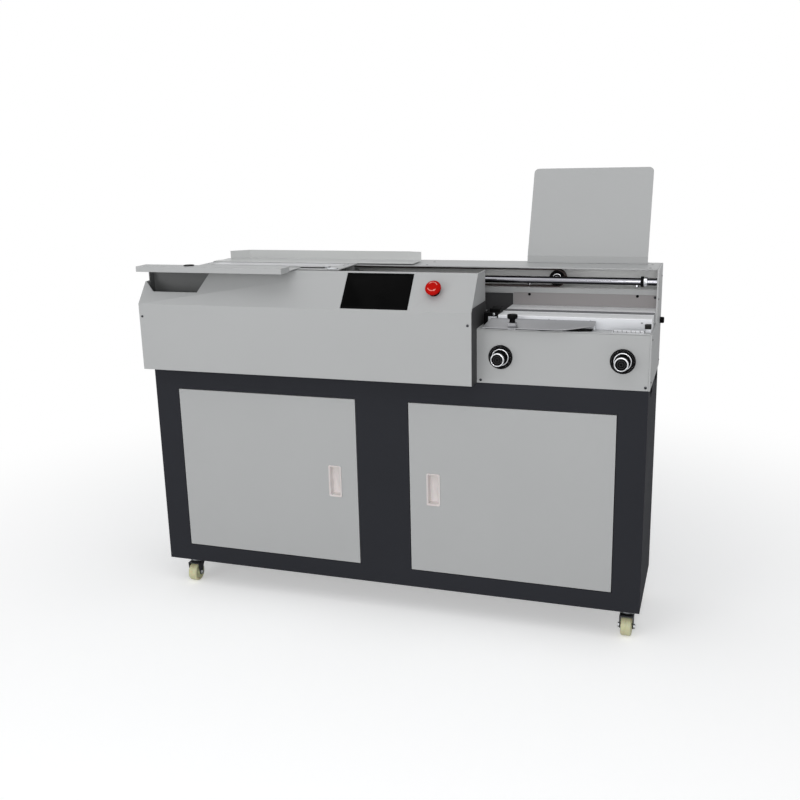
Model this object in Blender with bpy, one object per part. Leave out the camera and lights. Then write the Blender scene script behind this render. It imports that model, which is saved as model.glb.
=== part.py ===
"""Floor-standing glue binding machine on a cabinet with castors.

Metres, +Z up. Places are measured from the cabinet's left front lower corner: X to the
right, Y towards the back, Z up. The upper body has its own empty on the cabinet's top, so
its heights start there. One empty carries the whole machine, so that the world origin is
on the floor, under the middle of its outline.
"""

import math

import bpy
import bmesh
from mathutils import Matrix, Vector

# Clearances that several pieces share
SEAT = 0.0003
SLIDE = 0.0005
BORE = 0.0003
OVER = 0.006

# Cabinet: a sheet box with a thick front frame, open at the back
CAB_WIDTH = 1.300
CAB_DEPTH = 0.300
CAB_HEIGHT = 0.5583
CAB_SHEET = 0.002
CAB_FRONT = 0.020
POST_WIDTH = 0.068
MID_POST_LEFT_HALF = 0.071
MID_POST_RIGHT_HALF = 0.068
BOTTOM_RAIL = 0.047
TOP_RAIL = 0.0593
BACK_SHEET = 0.0015
SLOT_LENGTH = 0.060
SLOT_HEIGHT = 0.026
SLOT_TOP_DROP = 0.004
SLOT_INSET = 0.060
SLOT_BACK_INSET = 0.028

# Doors: folded pans that sit inside the front frame
DOOR_GAP = 0.002
DOOR_DEPTH = 0.018
DOOR_SHEET = 0.0015
PIVOT_FROM_EDGE = 0.0065
PIVOT_FROM_FACE = 0.005
PIVOT_RADIUS = 0.0025
PIVOT_SEAT = 0.008
HINGE_STRIP = 0.013

# Door handles: flush cups with a thin rim
HANDLE_WIDTH = 0.036
HANDLE_HEIGHT = 0.086
HANDLE_RIM = 0.0035
HANDLE_PROUD = 0.0015
HANDLE_CUP = 0.012
HANDLE_WALL = 0.0015
HANDLE_FROM_FREE_EDGE = 0.062

# Castors
CASTOR_HEIGHT = 0.075
CASTOR_PLATE = 0.060
CASTOR_PLATE_THICK = 0.003
CASTOR_TRAIL = 0.014
CASTOR_Y_INSET = 0.045
CASTOR_LEFT_INSET = 0.059
CASTOR_RIGHT_INSET = 0.032
WHEEL_RADIUS = 0.025
WHEEL_WIDTH = 0.026
WHEEL_TREAD_CORNER = 0.005
WHEEL_CROWN_SHARE = 0.25
HUB_RADIUS = 0.009
HUB_PROUD = 0.0015
AXLE_RADIUS = 0.004
AXLE_HEAD_RADIUS = 0.0065
AXLE_HEAD = 0.004
FORK_SHEET = 0.0025
FORK_CHEEK_WIDTH = 0.026
FORK_CHEEK_LOW_WIDTH = 0.016
FORK_CHEEK_DROP = 0.008
FORK_CROWN_RADIUS = 0.022
CROWN_CLEAR = 0.004

# Upper body: end plates and rear panel. From here on, heights are above the cabinet's top.
END_SHEET = 0.003
BODY_HEIGHT = 0.2601
BODY_SETBACK = 0.0017
PANEL_SHEET = 0.002
LEFT_LOW_HEIGHT = 0.2367
LEFT_TALL_DEPTH = 0.033
FLANGE_BEHIND_LIP = 0.0025
FLANGE_RIGHT = 0.215
FLANGE_LOW = 0.1317
FLANGE_TOP = 0.2567
BEAM_TOP_LEFT = 0.135
RIGHT_OVERHANG = 0.0025
RIGHT_SHEET = 0.004
RIGHT_LOW_HEIGHT = 0.1317
RIGHT_RISE_BEFORE_SHAFT = 0.020
RIGHT_RISE_RUN = 0.011

# Front cover: folded sheet with a sloped control face
COVER_LEFT = -0.003
STATION_WIDTH = 0.4083
COVER_FRONT = -0.045
COVER_SHEET = 0.002
COVER_FOLD_Z = 0.1752
COVER_EDGE_Y = 0.0227
COVER_TOP = 0.2604
COVER_LIP = 0.008
COVER_JAW_GAP = 0.0015
COVER_FOOT_Y = 0.012
NOTCH_LEFT_Z = 0.2287
NOTCH_LOW_Z = 0.2047
NOTCH_LOW_LEFT = 0.030
NOTCH_LOW_RIGHT = 0.159
NOTCH_RIGHT = 0.186

# Touch screen in the sloped face, placed by its distance up the slope
SCREEN_FROM_END = 0.3302
SCREEN_WIDTH = 0.172
SCREEN_LOW = 0.0045
SCREEN_HEIGHT = 0.1005
SCREEN_THICK = 0.006
SCREEN_PROUD = 0.0005

# Emergency stop on the sloped face
STOP_FROM_END = 0.0992
STOP_UP_SLOPE = 0.0583
STOP_RING_RADIUS = 0.0150
STOP_RING_THICK = 0.003
STOP_STEM_RADIUS = 0.010
STOP_STEM_INSIDE = 0.022
STOP_STEM_OUTSIDE = 0.010
STOP_HEAD_RADIUS = 0.0195
STOP_HEAD_SKIRT = 0.005
STOP_HEAD_DOME = 0.009

# Guide shaft, belt and pulleys. The clamp and the beam are placed from the shaft.
SHAFT_FROM_BACK = 0.1283
SHAFT_RADIUS = 0.00875
SHAFT_Z = 0.2287
COLLAR_FROM_PLATE = 0.023
COLLAR_WIDTH = 0.016
COLLAR_RADIUS = 0.013
BELT_BEHIND_SHAFT = 0.0275
BELT_WIDTH = 0.025
BELT_THICK = 0.0015
BELT_RADIUS = 0.020
BELT_Z = 0.2297
DRIVE_X = 0.160
IDLER_FROM_COVER = 0.1588
PULLEY_AXLE_RADIUS = 0.004
MOTOR_SIZE = 0.042
MOTOR_DEPTH = 0.044

# Carriage: top frame on the guide shaft, with the fixed front jaw
RIDE_Z = 0.2609
FRAME_SHEET = 0.002
CARRIAGE_LEFT = 0.112
CARRIAGE_LENGTH = 0.421
CARRIAGE_BEFORE_SHAFT = 0.136
CARRIAGE_BEHIND_SHAFT = 0.080
JAW_INSET = 0.0283
JAW_RIGHT_INSET = 0.0327
JAW_BEFORE_SHAFT = 0.070
JAW_FRONT_THICK = 0.003
JAW_BOTTOM = 0.1617
JAW_REAR_THICK = 0.008
JAW_REST_GAP = 0.008
JAW_PLATE_DEPTH = 0.092
HANGER_THICK = 0.004
HANGER_BEFORE_SHAFT = 0.0115
HANGER_LENGTH = 0.026
BLOCK_HALF = 0.017

# Rear beam: folded channel between the end plates
BEAM_SHEET = 0.003
BEAM_TOP = 0.2604
BEAM_BEFORE_SHAFT = 0.007
BEAM_WEB_INSET = 0.021
LEDGE_TOP = 0.2055
LEDGE_LOW = 0.1927
LEDGE_PROUD = 0.003
WALL_BEHIND_SHAFT = 0.030
WINDOW_LENGTH = 0.442
WINDOW_HEIGHT = 0.045
WINDOW_PAST_BAR = 0.002
PIN_RADIUS = 0.004
PIN_HEIGHT = 0.009
PIN_BEHIND_WALL = 0.040
PIN_FROM_PLATE = 0.0528
PIN_SPACING = 0.2685

# Trays, which ride on the carriage
TRAY_SHEET = 0.0015
FRONT_TRAY_OVERHANG = 0.101
FRONT_TRAY_LENGTH = 0.410
FRONT_TRAY_REACH = 0.097
FRONT_TRAY_DEPTH = 0.049
FRONT_TRAY_HEIGHT = 0.0138
FRONT_TRAY_FOOT = 0.070
TRAY_KNOB_INSET = 0.137
TRAY_KNOB_FROM_BACK = 0.017
TRAY_KNOB_RADIUS = 0.014
TRAY_KNOB_HEIGHT = 0.0025
REAR_TRAY_BEFORE_SHAFT = 0.010
REAR_TRAY_HEIGHT = 0.0263
REAR_WALL_BEHIND_SHAFT = 0.082
REAR_WALL_LEFT_INSET = 0.068
REAR_WALL_OVERHANG = 0.113
SPLAY_LEFT_RUN = (0.044, 0.035)
SPLAY_RIGHT_RUN = (0.040, 0.010)
LEFT_EDGE_SETBACK = 0.062
REAR_SHELF_DEPTH = 0.084

# Leaning paper support on the rear beam
SUPPORT_FROM_RIGHT = 0.035
SUPPORT_WIDTH = 0.3015
SUPPORT_SHEET = 0.002
SUPPORT_FROM_BACK = 0.034
SUPPORT_FOOT = 0.022
SUPPORT_BASE_HEIGHT = 0.0155
SUPPORT_LENGTH = 0.2345
SUPPORT_LEAN = math.radians(22.0)
SUPPORT_CORNER = 0.012

# Milling cutter, glue tank and control box on the cabinet's top
CUTTER_BEFORE_TANK = 0.070
CUTTER_RADIUS = 0.045
CUTTER_BELOW_JAW = 0.014
CUTTER_THICK = 0.010
CUTTER_STEM_RADIUS = 0.006
CUTTER_STEM = 0.012
CUTTER_MOTOR = 0.070
TANK_FROM_END = 0.0942
TANK_LENGTH = 0.200
TANK_DEPTH = 0.124
TANK_WALL = 0.004
TANK_HEIGHT = 0.1414
TANK_HOLLOW = 0.055
ROLLER_RADIUS = 0.021
ROLLER_SINK = 0.013
ROLLER_AXLE_RADIUS = 0.005
ROLLER_INSET = 0.055
BOX_LEFT = 0.110
BOX_LENGTH = 0.220
BOX_BEHIND_SHAFT = 0.040
BOX_DEPTH = 0.070
BOX_HEIGHT = 0.120
INLET_X = 0.420
INLET_Z = 0.0617
INLET_WIDTH = 0.048
INLET_HEIGHT = 0.028
INLET_DEPTH = 0.024
INLET_WALL = 0.004
INLET_FLANGE = 0.0015
INLET_RIM = 0.006

# Pressing station on the right
BLACK_PLATE_SHEET = 0.0012
BLACK_PLATE_INSET = 0.001
BLACK_PLATE_CORNER = 0.006
BLACK_PLATE_SHOULDER = 0.1767
BLACK_PLATE_TOP = 0.1857
FRONT_PANEL_SHEET = 0.002
TABLE_TOP = 0.1327
TABLE_SHEET = 0.003
BAR_HEIGHT = 0.028
BAR_FROM_COVER = 0.0458
FRONT_BAR_DEPTH = 0.065
NIP_GAP = 0.015
GUIDE_SHEET = 0.002
GUIDE_BAR_GAP = 0.002
GUIDE_FROM_COVER = 0.0178
GUIDE_LENGTH = 0.266
GUIDE_DEPTH = 0.047
GUIDE_FRONT_LIFT = 0.0035
GUIDE_RISE = 0.0150
GUIDE_OUTLINE_SHARES = ((0, 1), (0.67, 1), (0.75, 0.936), (0.90, 0.64), (0.977, 0.47), (0.977, 0), (0.045, 0))
GUIDE_BLOCK_WIDTH = 0.019
GUIDE_BLOCK_DEPTH = 0.018
GUIDE_BLOCK_HEIGHT = 0.0155
GUIDE_KNOB_FROM_COVER = 0.0868
GUIDE_KNOB_BEFORE_BAR = 0.029
GUIDE_KNOB_RADIUS = 0.0125
GUIDE_KNOB_HEAD = 0.011
GUIDE_KNOB_NECK_RADIUS = 0.0075
GUIDE_KNOB_NECK = 0.009

# Dials
LEFT_DIAL_FROM_COVER = 0.0598
LEFT_DIAL_Z = 0.0655
RIGHT_DIAL_FROM_END = 0.0629
RIGHT_DIAL_Z = 0.0677
DIAL_RING_RADIUS = 0.0293
DIAL_RING_THICK = 0.002
DIAL_KNOB_RADIUS = 0.0165
DIAL_SKIRT_RADIUS = 0.0208
DIAL_SKIRT = 0.008
DIAL_DEPTH = 0.036
DIAL_SHAFT_RADIUS = 0.005
DIAL_SHAFT_INSIDE = 0.020

# Small clamp knob on the right end plate
SIDE_KNOB_FROM_BACK = 0.0363
SIDE_KNOB_Z = 0.1217
SIDE_KNOB_RADIUS = 0.008
SIDE_KNOB_HEAD = 0.0105
SIDE_KNOB_STEM_RADIUS = 0.003
SIDE_KNOB_STEM_INSIDE = 0.008

# Roundness of turned pieces
FINE_SIDES = 28
PLAIN_SIDES = 16
CORNER_STEPS = 6
SMOOTH_ANGLE = math.radians(35.0)

# Cabinet places worked out from the sizes above
DOOR_LOW = BOTTOM_RAIL
DOOR_TOP = CAB_HEIGHT - TOP_RAIL
HANDLE_Z = (DOOR_LOW + DOOR_TOP) / 2
MID_POST_LEFT = CAB_WIDTH / 2 - MID_POST_LEFT_HALF
MID_POST_RIGHT = CAB_WIDTH / 2 + MID_POST_RIGHT_HALF

# Upper body places, the heights above the cabinet's top
BASE_Z = SEAT
LEFT_PLATE_X = COVER_LEFT + COVER_SHEET + SEAT
INSIDE_LEFT = LEFT_PLATE_X + END_SHEET + SEAT
RIGHT_OUTER = CAB_WIDTH + RIGHT_OVERHANG
RIGHT_PLATE_X = RIGHT_OUTER - RIGHT_SHEET
INSIDE_RIGHT = RIGHT_PLATE_X - SEAT
BODY_DEPTH = CAB_DEPTH - BODY_SETBACK
BEAM_BACK = BODY_DEPTH - PANEL_SHEET - SEAT
BEAM_WEB_Y = BEAM_BACK - BEAM_WEB_INSET
WEB_FACE = BEAM_WEB_Y - BEAM_SHEET
SHAFT_Y = BODY_DEPTH - SHAFT_FROM_BACK
BEAM_FRONT = SHAFT_Y - BEAM_BEFORE_SHAFT
WALL_Y = SHAFT_Y + WALL_BEHIND_SHAFT
BELT_FRONT = SHAFT_Y + BELT_BEHIND_SHAFT
BELT_Y = BELT_FRONT + BELT_WIDTH / 2
COVER_RIGHT = RIGHT_OUTER - STATION_WIDTH
SCREEN_LEFT = COVER_RIGHT - SCREEN_FROM_END
STOP_X = COVER_RIGHT - STOP_FROM_END
IDLER_X = COVER_RIGHT + IDLER_FROM_COVER
FRAME_TOP = RIDE_Z + FRAME_SHEET
TRAY_FLOOR = FRAME_TOP + SEAT
CARRIAGE_RIGHT = CARRIAGE_LEFT + CARRIAGE_LENGTH
CARRIAGE_FRONT = SHAFT_Y - CARRIAGE_BEFORE_SHAFT
CARRIAGE_BACK = SHAFT_Y + CARRIAGE_BEHIND_SHAFT
JAW_LEFT = CARRIAGE_LEFT + JAW_INSET
JAW_RIGHT = CARRIAGE_RIGHT - JAW_RIGHT_INSET
JAW_FACE_Y = SHAFT_Y - JAW_BEFORE_SHAFT
JAW_REAR_Y = JAW_FACE_Y + JAW_REST_GAP
BOOK_Y = JAW_FACE_Y + JAW_REST_GAP / 2
COVER_END_Y = JAW_FACE_Y - JAW_FRONT_THICK - COVER_JAW_GAP
BLACK_PLATE_X = COVER_RIGHT + SEAT
STATION_LEFT = BLACK_PLATE_X + BLACK_PLATE_SHEET + SEAT
BAR_LEFT = COVER_RIGHT + BAR_FROM_COVER
BAR_TOP = TABLE_TOP + BAR_HEIGHT
FRONT_BAR_Y = JAW_FACE_Y - FRONT_BAR_DEPTH
SUPPORT_Y = BEAM_BACK - SUPPORT_FROM_BACK
SUPPORT_LEFT = RIGHT_OUTER - SUPPORT_FROM_RIGHT - SUPPORT_WIDTH
SUPPORT_TOP_Y = SUPPORT_Y + SUPPORT_LENGTH * math.sin(SUPPORT_LEAN) + SUPPORT_SHEET * math.cos(SUPPORT_LEAN)
LEFT_DIAL = (COVER_RIGHT + LEFT_DIAL_FROM_COVER, LEFT_DIAL_Z)
RIGHT_DIAL = (RIGHT_OUTER - RIGHT_DIAL_FROM_END, RIGHT_DIAL_Z)
SIDE_KNOB_Y = BODY_DEPTH - SIDE_KNOB_FROM_BACK
SIDE_KNOB_TIP = RIGHT_OUTER + SEAT + SIDE_KNOB_HEAD

# The machine's middle, which becomes the world origin
MIDDLE_X = (COVER_LEFT + SIDE_KNOB_TIP) / 2
MIDDLE_Y = (CARRIAGE_FRONT - FRONT_TRAY_REACH + SUPPORT_TOP_Y) / 2

PAINT_GREY = ((0.40, 0.41, 0.41), 0.45, 0.0)
PAINT_LIGHT = ((0.58, 0.60, 0.59), 0.42, 0.0)
PAINT_DARK = ((0.032, 0.036, 0.043), 0.40, 0.0)
BLACK_PLASTIC = ((0.012, 0.012, 0.013), 0.40, 0.0)
WHITE_PLASTIC = ((0.62, 0.61, 0.56), 0.40, 0.0)
NYLON = ((0.50, 0.50, 0.26), 0.45, 0.0)
RED_PLASTIC = ((0.62, 0.010, 0.008), 0.30, 0.0)
STEEL = ((0.50, 0.50, 0.51), 0.28, 1.0)
ALUMINIUM = ((0.72, 0.73, 0.75), 0.30, 1.0)
ZINC = ((0.10, 0.10, 0.10), 0.45, 1.0)
BELT_RUBBER = ((0.045, 0.018, 0.016), 0.75, 0.0)


def clear_scene():
    """Removes whatever the file already holds."""
    for thing in list(bpy.data.objects):
        bpy.data.objects.remove(thing, do_unlink=True)


def shape_mesh(name, shape):
    """Makes a closed mesh with outward faces from a shape, which is (points, faces)."""
    points, faces = shape
    mesh = bpy.data.meshes.new(name)
    mesh.from_pydata([tuple(point) for point in points], [], faces)
    work = bmesh.new()
    work.from_mesh(mesh)
    bmesh.ops.recalc_face_normals(work, faces=work.faces)
    work.to_mesh(mesh)
    work.free()
    return mesh


def box(x, y, z):
    """A block between the (low, high) pairs x, y and z."""
    points = [(a, b, c) for a in x for b in y for c in z]
    faces = [(0, 1, 3, 2), (4, 6, 7, 5), (0, 4, 5, 1), (2, 3, 7, 6), (0, 2, 6, 4), (1, 5, 7, 3)]
    return points, faces


def swept(outline, lift, place):
    """Moves a closed outline of (u, v) points by lift; place turns (u, v, lift) into a point."""
    count = len(outline)
    points = [place(u, v, level) for level in lift for u, v in outline]
    faces = [tuple(range(count)), tuple(range(count, count + count))]
    for i in range(count):
        j = (i + 1) % count
        faces.append((i, j, count + j, count + i))
    return points, faces


def along_x(outline, x):
    """A bar along X whose section is an outline of (y, z) points."""
    return swept(outline, x, lambda u, v, level: (level, u, v))


def along_y(outline, y):
    """A bar along Y whose section is an outline of (x, z) points."""
    return swept(outline, y, lambda u, v, level: (u, level, v))


def along_z(outline, z):
    """A plate along Z whose outline is (x, y) points."""
    return swept(outline, z, lambda u, v, level: (u, v, level))


def turned(profile, place, sides, closed_ring=False):
    """Turns (radius, height) points round an axis; place turns (a, b, height) into a point."""
    points = []
    rings = []
    for radius, height in profile:
        if radius == 0:
            rings.append([len(points)])
            points.append(place(0, 0, height))
            continue
        ring = []
        for i in range(sides):
            angle = math.tau * i / sides
            ring.append(len(points))
            points.append(place(radius * math.cos(angle), radius * math.sin(angle), height))
        rings.append(ring)
    pairs = list(zip(rings, rings[1:]))
    if closed_ring:
        pairs.append((rings[-1], rings[0]))
    faces = []
    for low, high in pairs:
        for i in range(sides):
            j = (i + 1) % sides
            corners = [low[i % len(low)], low[j % len(low)], high[j % len(high)], high[i % len(high)]]
            unique = list(dict.fromkeys(corners))
            if len(unique) > 2:
                faces.append(tuple(unique))
    if not closed_ring:
        for ring in (rings[0], rings[-1]):
            if len(ring) > 1:
                faces.append(tuple(ring))
    return points, faces


def axis_x(y, z):
    return lambda a, b, height: (height, y + a, z + b)


def axis_y(x, z):
    return lambda a, b, height: (x + a, height, z + b)


def axis_z(x, y):
    return lambda a, b, height: (x + a, y + b, height)


def rod(radius, ends, place, sides=PLAIN_SIDES):
    """A plain cylinder between two heights."""
    return turned([(radius, ends[0]), (radius, ends[1])], place, sides)


def tube(inner, outer, ends, place, sides=PLAIN_SIDES):
    """A ring of rectangular section between two heights."""
    profile = [(outer, ends[0]), (outer, ends[1]), (inner, ends[1]), (inner, ends[0])]
    return turned(profile, place, sides, closed_ring=True)


def material(name, finish):
    """A Principled material of one colour, roughness and metallic value."""
    colour, roughness, metallic = finish
    made = bpy.data.materials.new(name)
    made.use_nodes = True
    shader = made.node_tree.nodes["Principled BSDF"]
    shader.inputs["Base Color"].default_value = (*colour, 1.0)
    shader.inputs["Roughness"].default_value = roughness
    shader.inputs["Metallic"].default_value = metallic
    made.diffuse_color = (*colour, 1.0)
    return made


def boolean(target, label, operation, shape, turn):
    """Adds one Boolean modifier, with its hidden cutter or filler."""
    mesh = shape_mesh(label, shape)
    helper = bpy.data.objects.new(label, mesh)
    bpy.context.collection.objects.link(helper)
    helper.parent = target.parent
    helper.hide_render = True
    helper.display_type = 'WIRE'
    helper.location = target.location
    helper.rotation_euler = (0, 0, turn)
    helper.data.transform(Matrix.Translation(-target.location))
    modifier = target.modifiers.new(label, 'BOOLEAN')
    modifier.operation = operation
    modifier.solver = 'EXACT'
    modifier.object = helper


def piece(name, finish, shape, joins=(), cuts=(), pivot=(0, 0, 0), turn=0.0, smooth=False, carrier=None):
    """One named sub-part, with its origin on its pivot, turned about Z there."""
    mesh = shape_mesh(name, shape)
    mesh.transform(Matrix.Translation(-Vector(pivot)))
    thing = bpy.data.objects.new(name, mesh)
    bpy.context.collection.objects.link(thing)
    thing.parent = carrier or upper_body
    thing.location = pivot
    thing.rotation_euler = (0, 0, turn)
    mesh.materials.append(material(name, finish))
    for number, extra in enumerate(joins):
        boolean(thing, f"{name}_join_{number}", 'UNION', extra, turn)
    for number, extra in enumerate(cuts):
        boolean(thing, f"{name}_cut_{number}", 'DIFFERENCE', extra, turn)
    if smooth:
        mesh.shade_smooth()
        mesh.set_sharp_from_angle(angle=SMOOTH_ANGLE)
    return thing


def arc(centre, radius, start, end, steps):
    """Points of an arc from one angle to another, both included."""
    points = []
    for i in range(steps + 1):
        angle = start + (end - start) * i / steps
        points.append((centre[0] + radius * math.cos(angle), centre[1] + radius * math.sin(angle)))
    return points


def cabinet():
    """The sheet cabinet, with two door openings and an open back."""
    inner_x = (CAB_SHEET, CAB_WIDTH - CAB_SHEET)
    inner_y = (CAB_FRONT, CAB_DEPTH + OVER)
    inner_z = (CAB_SHEET, CAB_HEIGHT - CAB_SHEET)
    door_y = (-OVER, CAB_FRONT + OVER)
    door_z = (DOOR_LOW, DOOR_TOP)
    cuts = [
        box(inner_x, inner_y, inner_z),
        box((POST_WIDTH, MID_POST_LEFT), door_y, door_z),
        box((MID_POST_RIGHT, CAB_WIDTH - POST_WIDTH), door_y, door_z),
    ]
    slot_top = CAB_HEIGHT - SLOT_TOP_DROP
    slot_x = (CAB_WIDTH - CAB_SHEET - OVER, CAB_WIDTH + OVER)
    for start in (SLOT_INSET, CAB_DEPTH - SLOT_BACK_INSET - SLOT_LENGTH):
        cuts.append(box(slot_x, (start, start + SLOT_LENGTH), (slot_top - SLOT_HEIGHT, slot_top)))
    for hinge_x in pivot_places():
        reach = (DOOR_LOW - PIVOT_SEAT - SEAT, DOOR_TOP + PIVOT_SEAT + SEAT)
        cuts.append(rod(PIVOT_RADIUS + BORE, reach, axis_z(hinge_x, PIVOT_FROM_FACE)))
    outer = box((0, CAB_WIDTH), (0, CAB_DEPTH), (0, CAB_HEIGHT))
    piece("cabinet_frame", PAINT_DARK, outer, cuts=cuts, carrier=machine)

    back_x = (CAB_SHEET + SEAT, CAB_WIDTH - CAB_SHEET - SEAT)
    back_z = (CAB_SHEET + SEAT, CAB_HEIGHT - CAB_SHEET - SEAT)
    back = box(back_x, (CAB_DEPTH - BACK_SHEET, CAB_DEPTH), back_z)
    piece("cabinet_back_panel", PAINT_DARK, back, carrier=machine)


def pivot_places():
    """X of the left and right door pivots."""
    left = POST_WIDTH + DOOR_GAP + PIVOT_FROM_EDGE
    right = CAB_WIDTH - POST_WIDTH - DOOR_GAP - PIVOT_FROM_EDGE
    return left, right


def door(side, low, high, pivot_x, hinge_at_left):
    """A door pan with its pivot rod and its handle; low and high are its edges in X."""
    z = (DOOR_LOW + DOOR_GAP, DOOR_TOP - DOOR_GAP)
    if hinge_at_left:
        hollow_x = (low + HINGE_STRIP, high - DOOR_SHEET)
        handle_x = high - HANDLE_FROM_FREE_EDGE
    else:
        hollow_x = (low + DOOR_SHEET, high - HINGE_STRIP)
        handle_x = low + HANDLE_FROM_FREE_EDGE
    hollow_z = (z[0] + DOOR_SHEET, z[1] - DOOR_SHEET)
    cup_half_x = HANDLE_WIDTH / 2 - HANDLE_RIM
    cup_half_z = HANDLE_HEIGHT / 2 - HANDLE_RIM
    hole_x = (handle_x - cup_half_x - SEAT, handle_x + cup_half_x + SEAT)
    hole_z = (HANDLE_Z - cup_half_z - SEAT, HANDLE_Z + cup_half_z + SEAT)
    pivot = (pivot_x, PIVOT_FROM_FACE, z[0])
    piece(
        f"{side}_door", PAINT_GREY, box((low, high), (0, DOOR_DEPTH), z),
        cuts=[
            box(hollow_x, (DOOR_SHEET, DOOR_DEPTH + OVER), hollow_z),
            box(hole_x, (-OVER, DOOR_SHEET + OVER), hole_z),
            rod(PIVOT_RADIUS + BORE, (z[0] - OVER, z[1] + OVER), axis_z(pivot_x, PIVOT_FROM_FACE)),
        ],
        pivot=pivot,
        carrier=machine,
    )
    reach = (DOOR_LOW - PIVOT_SEAT, DOOR_TOP + PIVOT_SEAT)
    pin = rod(PIVOT_RADIUS, reach, axis_z(pivot_x, PIVOT_FROM_FACE))
    piece(f"{side}_door_pivot", ZINC, pin, smooth=True, carrier=machine)

    rim_x = (handle_x - HANDLE_WIDTH / 2, handle_x + HANDLE_WIDTH / 2)
    rim_z = (HANDLE_Z - HANDLE_HEIGHT / 2, HANDLE_Z + HANDLE_HEIGHT / 2)
    cup_x = (handle_x - cup_half_x, handle_x + cup_half_x)
    cup_z = (HANDLE_Z - cup_half_z, HANDLE_Z + cup_half_z)
    inside_x = (cup_x[0] + HANDLE_WALL, cup_x[1] - HANDLE_WALL)
    inside_z = (cup_z[0] + HANDLE_WALL, cup_z[1] - HANDLE_WALL)
    front = (-HANDLE_PROUD - SEAT, -SEAT)
    piece(
        f"{side}_door_handle", WHITE_PLASTIC, box(rim_x, front, rim_z),
        joins=[box(cup_x, (-HANDLE_PROUD / 2, HANDLE_CUP), cup_z)],
        cuts=[box(inside_x, (-OVER, HANDLE_CUP - HANDLE_WALL), inside_z)],
        pivot=(handle_x, 0, HANDLE_Z),
        carrier=machine,
    )


def castor(name, x, y, turn):
    """A swivelling castor: plate, fork with its axle bolt, and wheel."""
    half = CASTOR_PLATE / 2
    top = -SEAT
    plate_z = (top - CASTOR_PLATE_THICK, top)
    plate = box((x - half, x + half), (y - half, y + half), plate_z)
    piece(f"{name}_plate", ZINC, plate, pivot=(x, y, plate_z[0]), carrier=machine)

    wheel_x = x + CASTOR_TRAIL
    wheel_z = WHEEL_RADIUS - CASTOR_HEIGHT
    crown_top = plate_z[0] - SEAT
    crown_low = wheel_z + WHEEL_RADIUS + CROWN_CLEAR
    hub_half = WHEEL_WIDTH / 2 + HUB_PROUD
    cheek = hub_half + SEAT
    cheek_x = (wheel_x - FORK_CHEEK_WIDTH / 2, wheel_x + FORK_CHEEK_WIDTH / 2)
    cheek_z = (wheel_z - FORK_CHEEK_DROP, crown_low + FORK_SHEET)
    bolt = cheek + FORK_SHEET + AXLE_HEAD
    crown_x = (x - FORK_CROWN_RADIUS / 2, cheek_x[1])
    cheek_outline = [
        (crown_x[0], cheek_z[1]), (cheek_x[1], cheek_z[1]),
        (wheel_x + FORK_CHEEK_LOW_WIDTH / 2, cheek_z[0]), (wheel_x - FORK_CHEEK_LOW_WIDTH / 2, cheek_z[0]),
    ]
    fork_parts = [
        box(crown_x, (y - cheek - FORK_SHEET, y + cheek + FORK_SHEET), (crown_low, crown_low + FORK_SHEET)),
        along_y(cheek_outline, (y - cheek - FORK_SHEET, y - cheek)),
        along_y(cheek_outline, (y + cheek, y + cheek + FORK_SHEET)),
        rod(AXLE_RADIUS, (y - bolt + AXLE_HEAD / 2, y + bolt - AXLE_HEAD / 2), axis_y(wheel_x, wheel_z)),
        rod(AXLE_HEAD_RADIUS, (y - bolt, y - cheek - FORK_SHEET / 2), axis_y(wheel_x, wheel_z)),
        rod(AXLE_HEAD_RADIUS, (y + cheek + FORK_SHEET / 2, y + bolt), axis_y(wheel_x, wheel_z)),
    ]
    crown = rod(FORK_CROWN_RADIUS, (crown_low + FORK_SHEET / 2, crown_top), axis_z(x, y))
    piece(f"{name}_fork", ZINC, crown, joins=fork_parts, pivot=(x, y, crown_top), turn=turn, carrier=machine)

    corner = WHEEL_TREAD_CORNER
    half_tread = WHEEL_WIDTH / 2
    bore = AXLE_RADIUS + BORE
    profile = [
        (bore, hub_half), (HUB_RADIUS, hub_half), (HUB_RADIUS, half_tread - HUB_PROUD),
        (WHEEL_RADIUS - corner - corner / 2, half_tread - HUB_PROUD), (WHEEL_RADIUS - corner, half_tread),
        (WHEEL_RADIUS - corner * WHEEL_CROWN_SHARE, half_tread - corner), (WHEEL_RADIUS, 0),
    ]
    other_side = [(radius, -height) for radius, height in reversed(profile[:-1])]
    spin = Vector((x, y, 0)) + Matrix.Rotation(turn, 3, 'Z') @ Vector((CASTOR_TRAIL, 0, 0))
    pivot = (spin.x, spin.y, wheel_z)
    place = axis_y(spin.x, wheel_z)
    ring = turned([(radius, height + spin.y) for radius, height in profile + other_side], place, FINE_SIDES, True)
    piece(f"{name}_wheel", NYLON, ring, pivot=pivot, turn=turn, smooth=True, carrier=machine)


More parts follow.
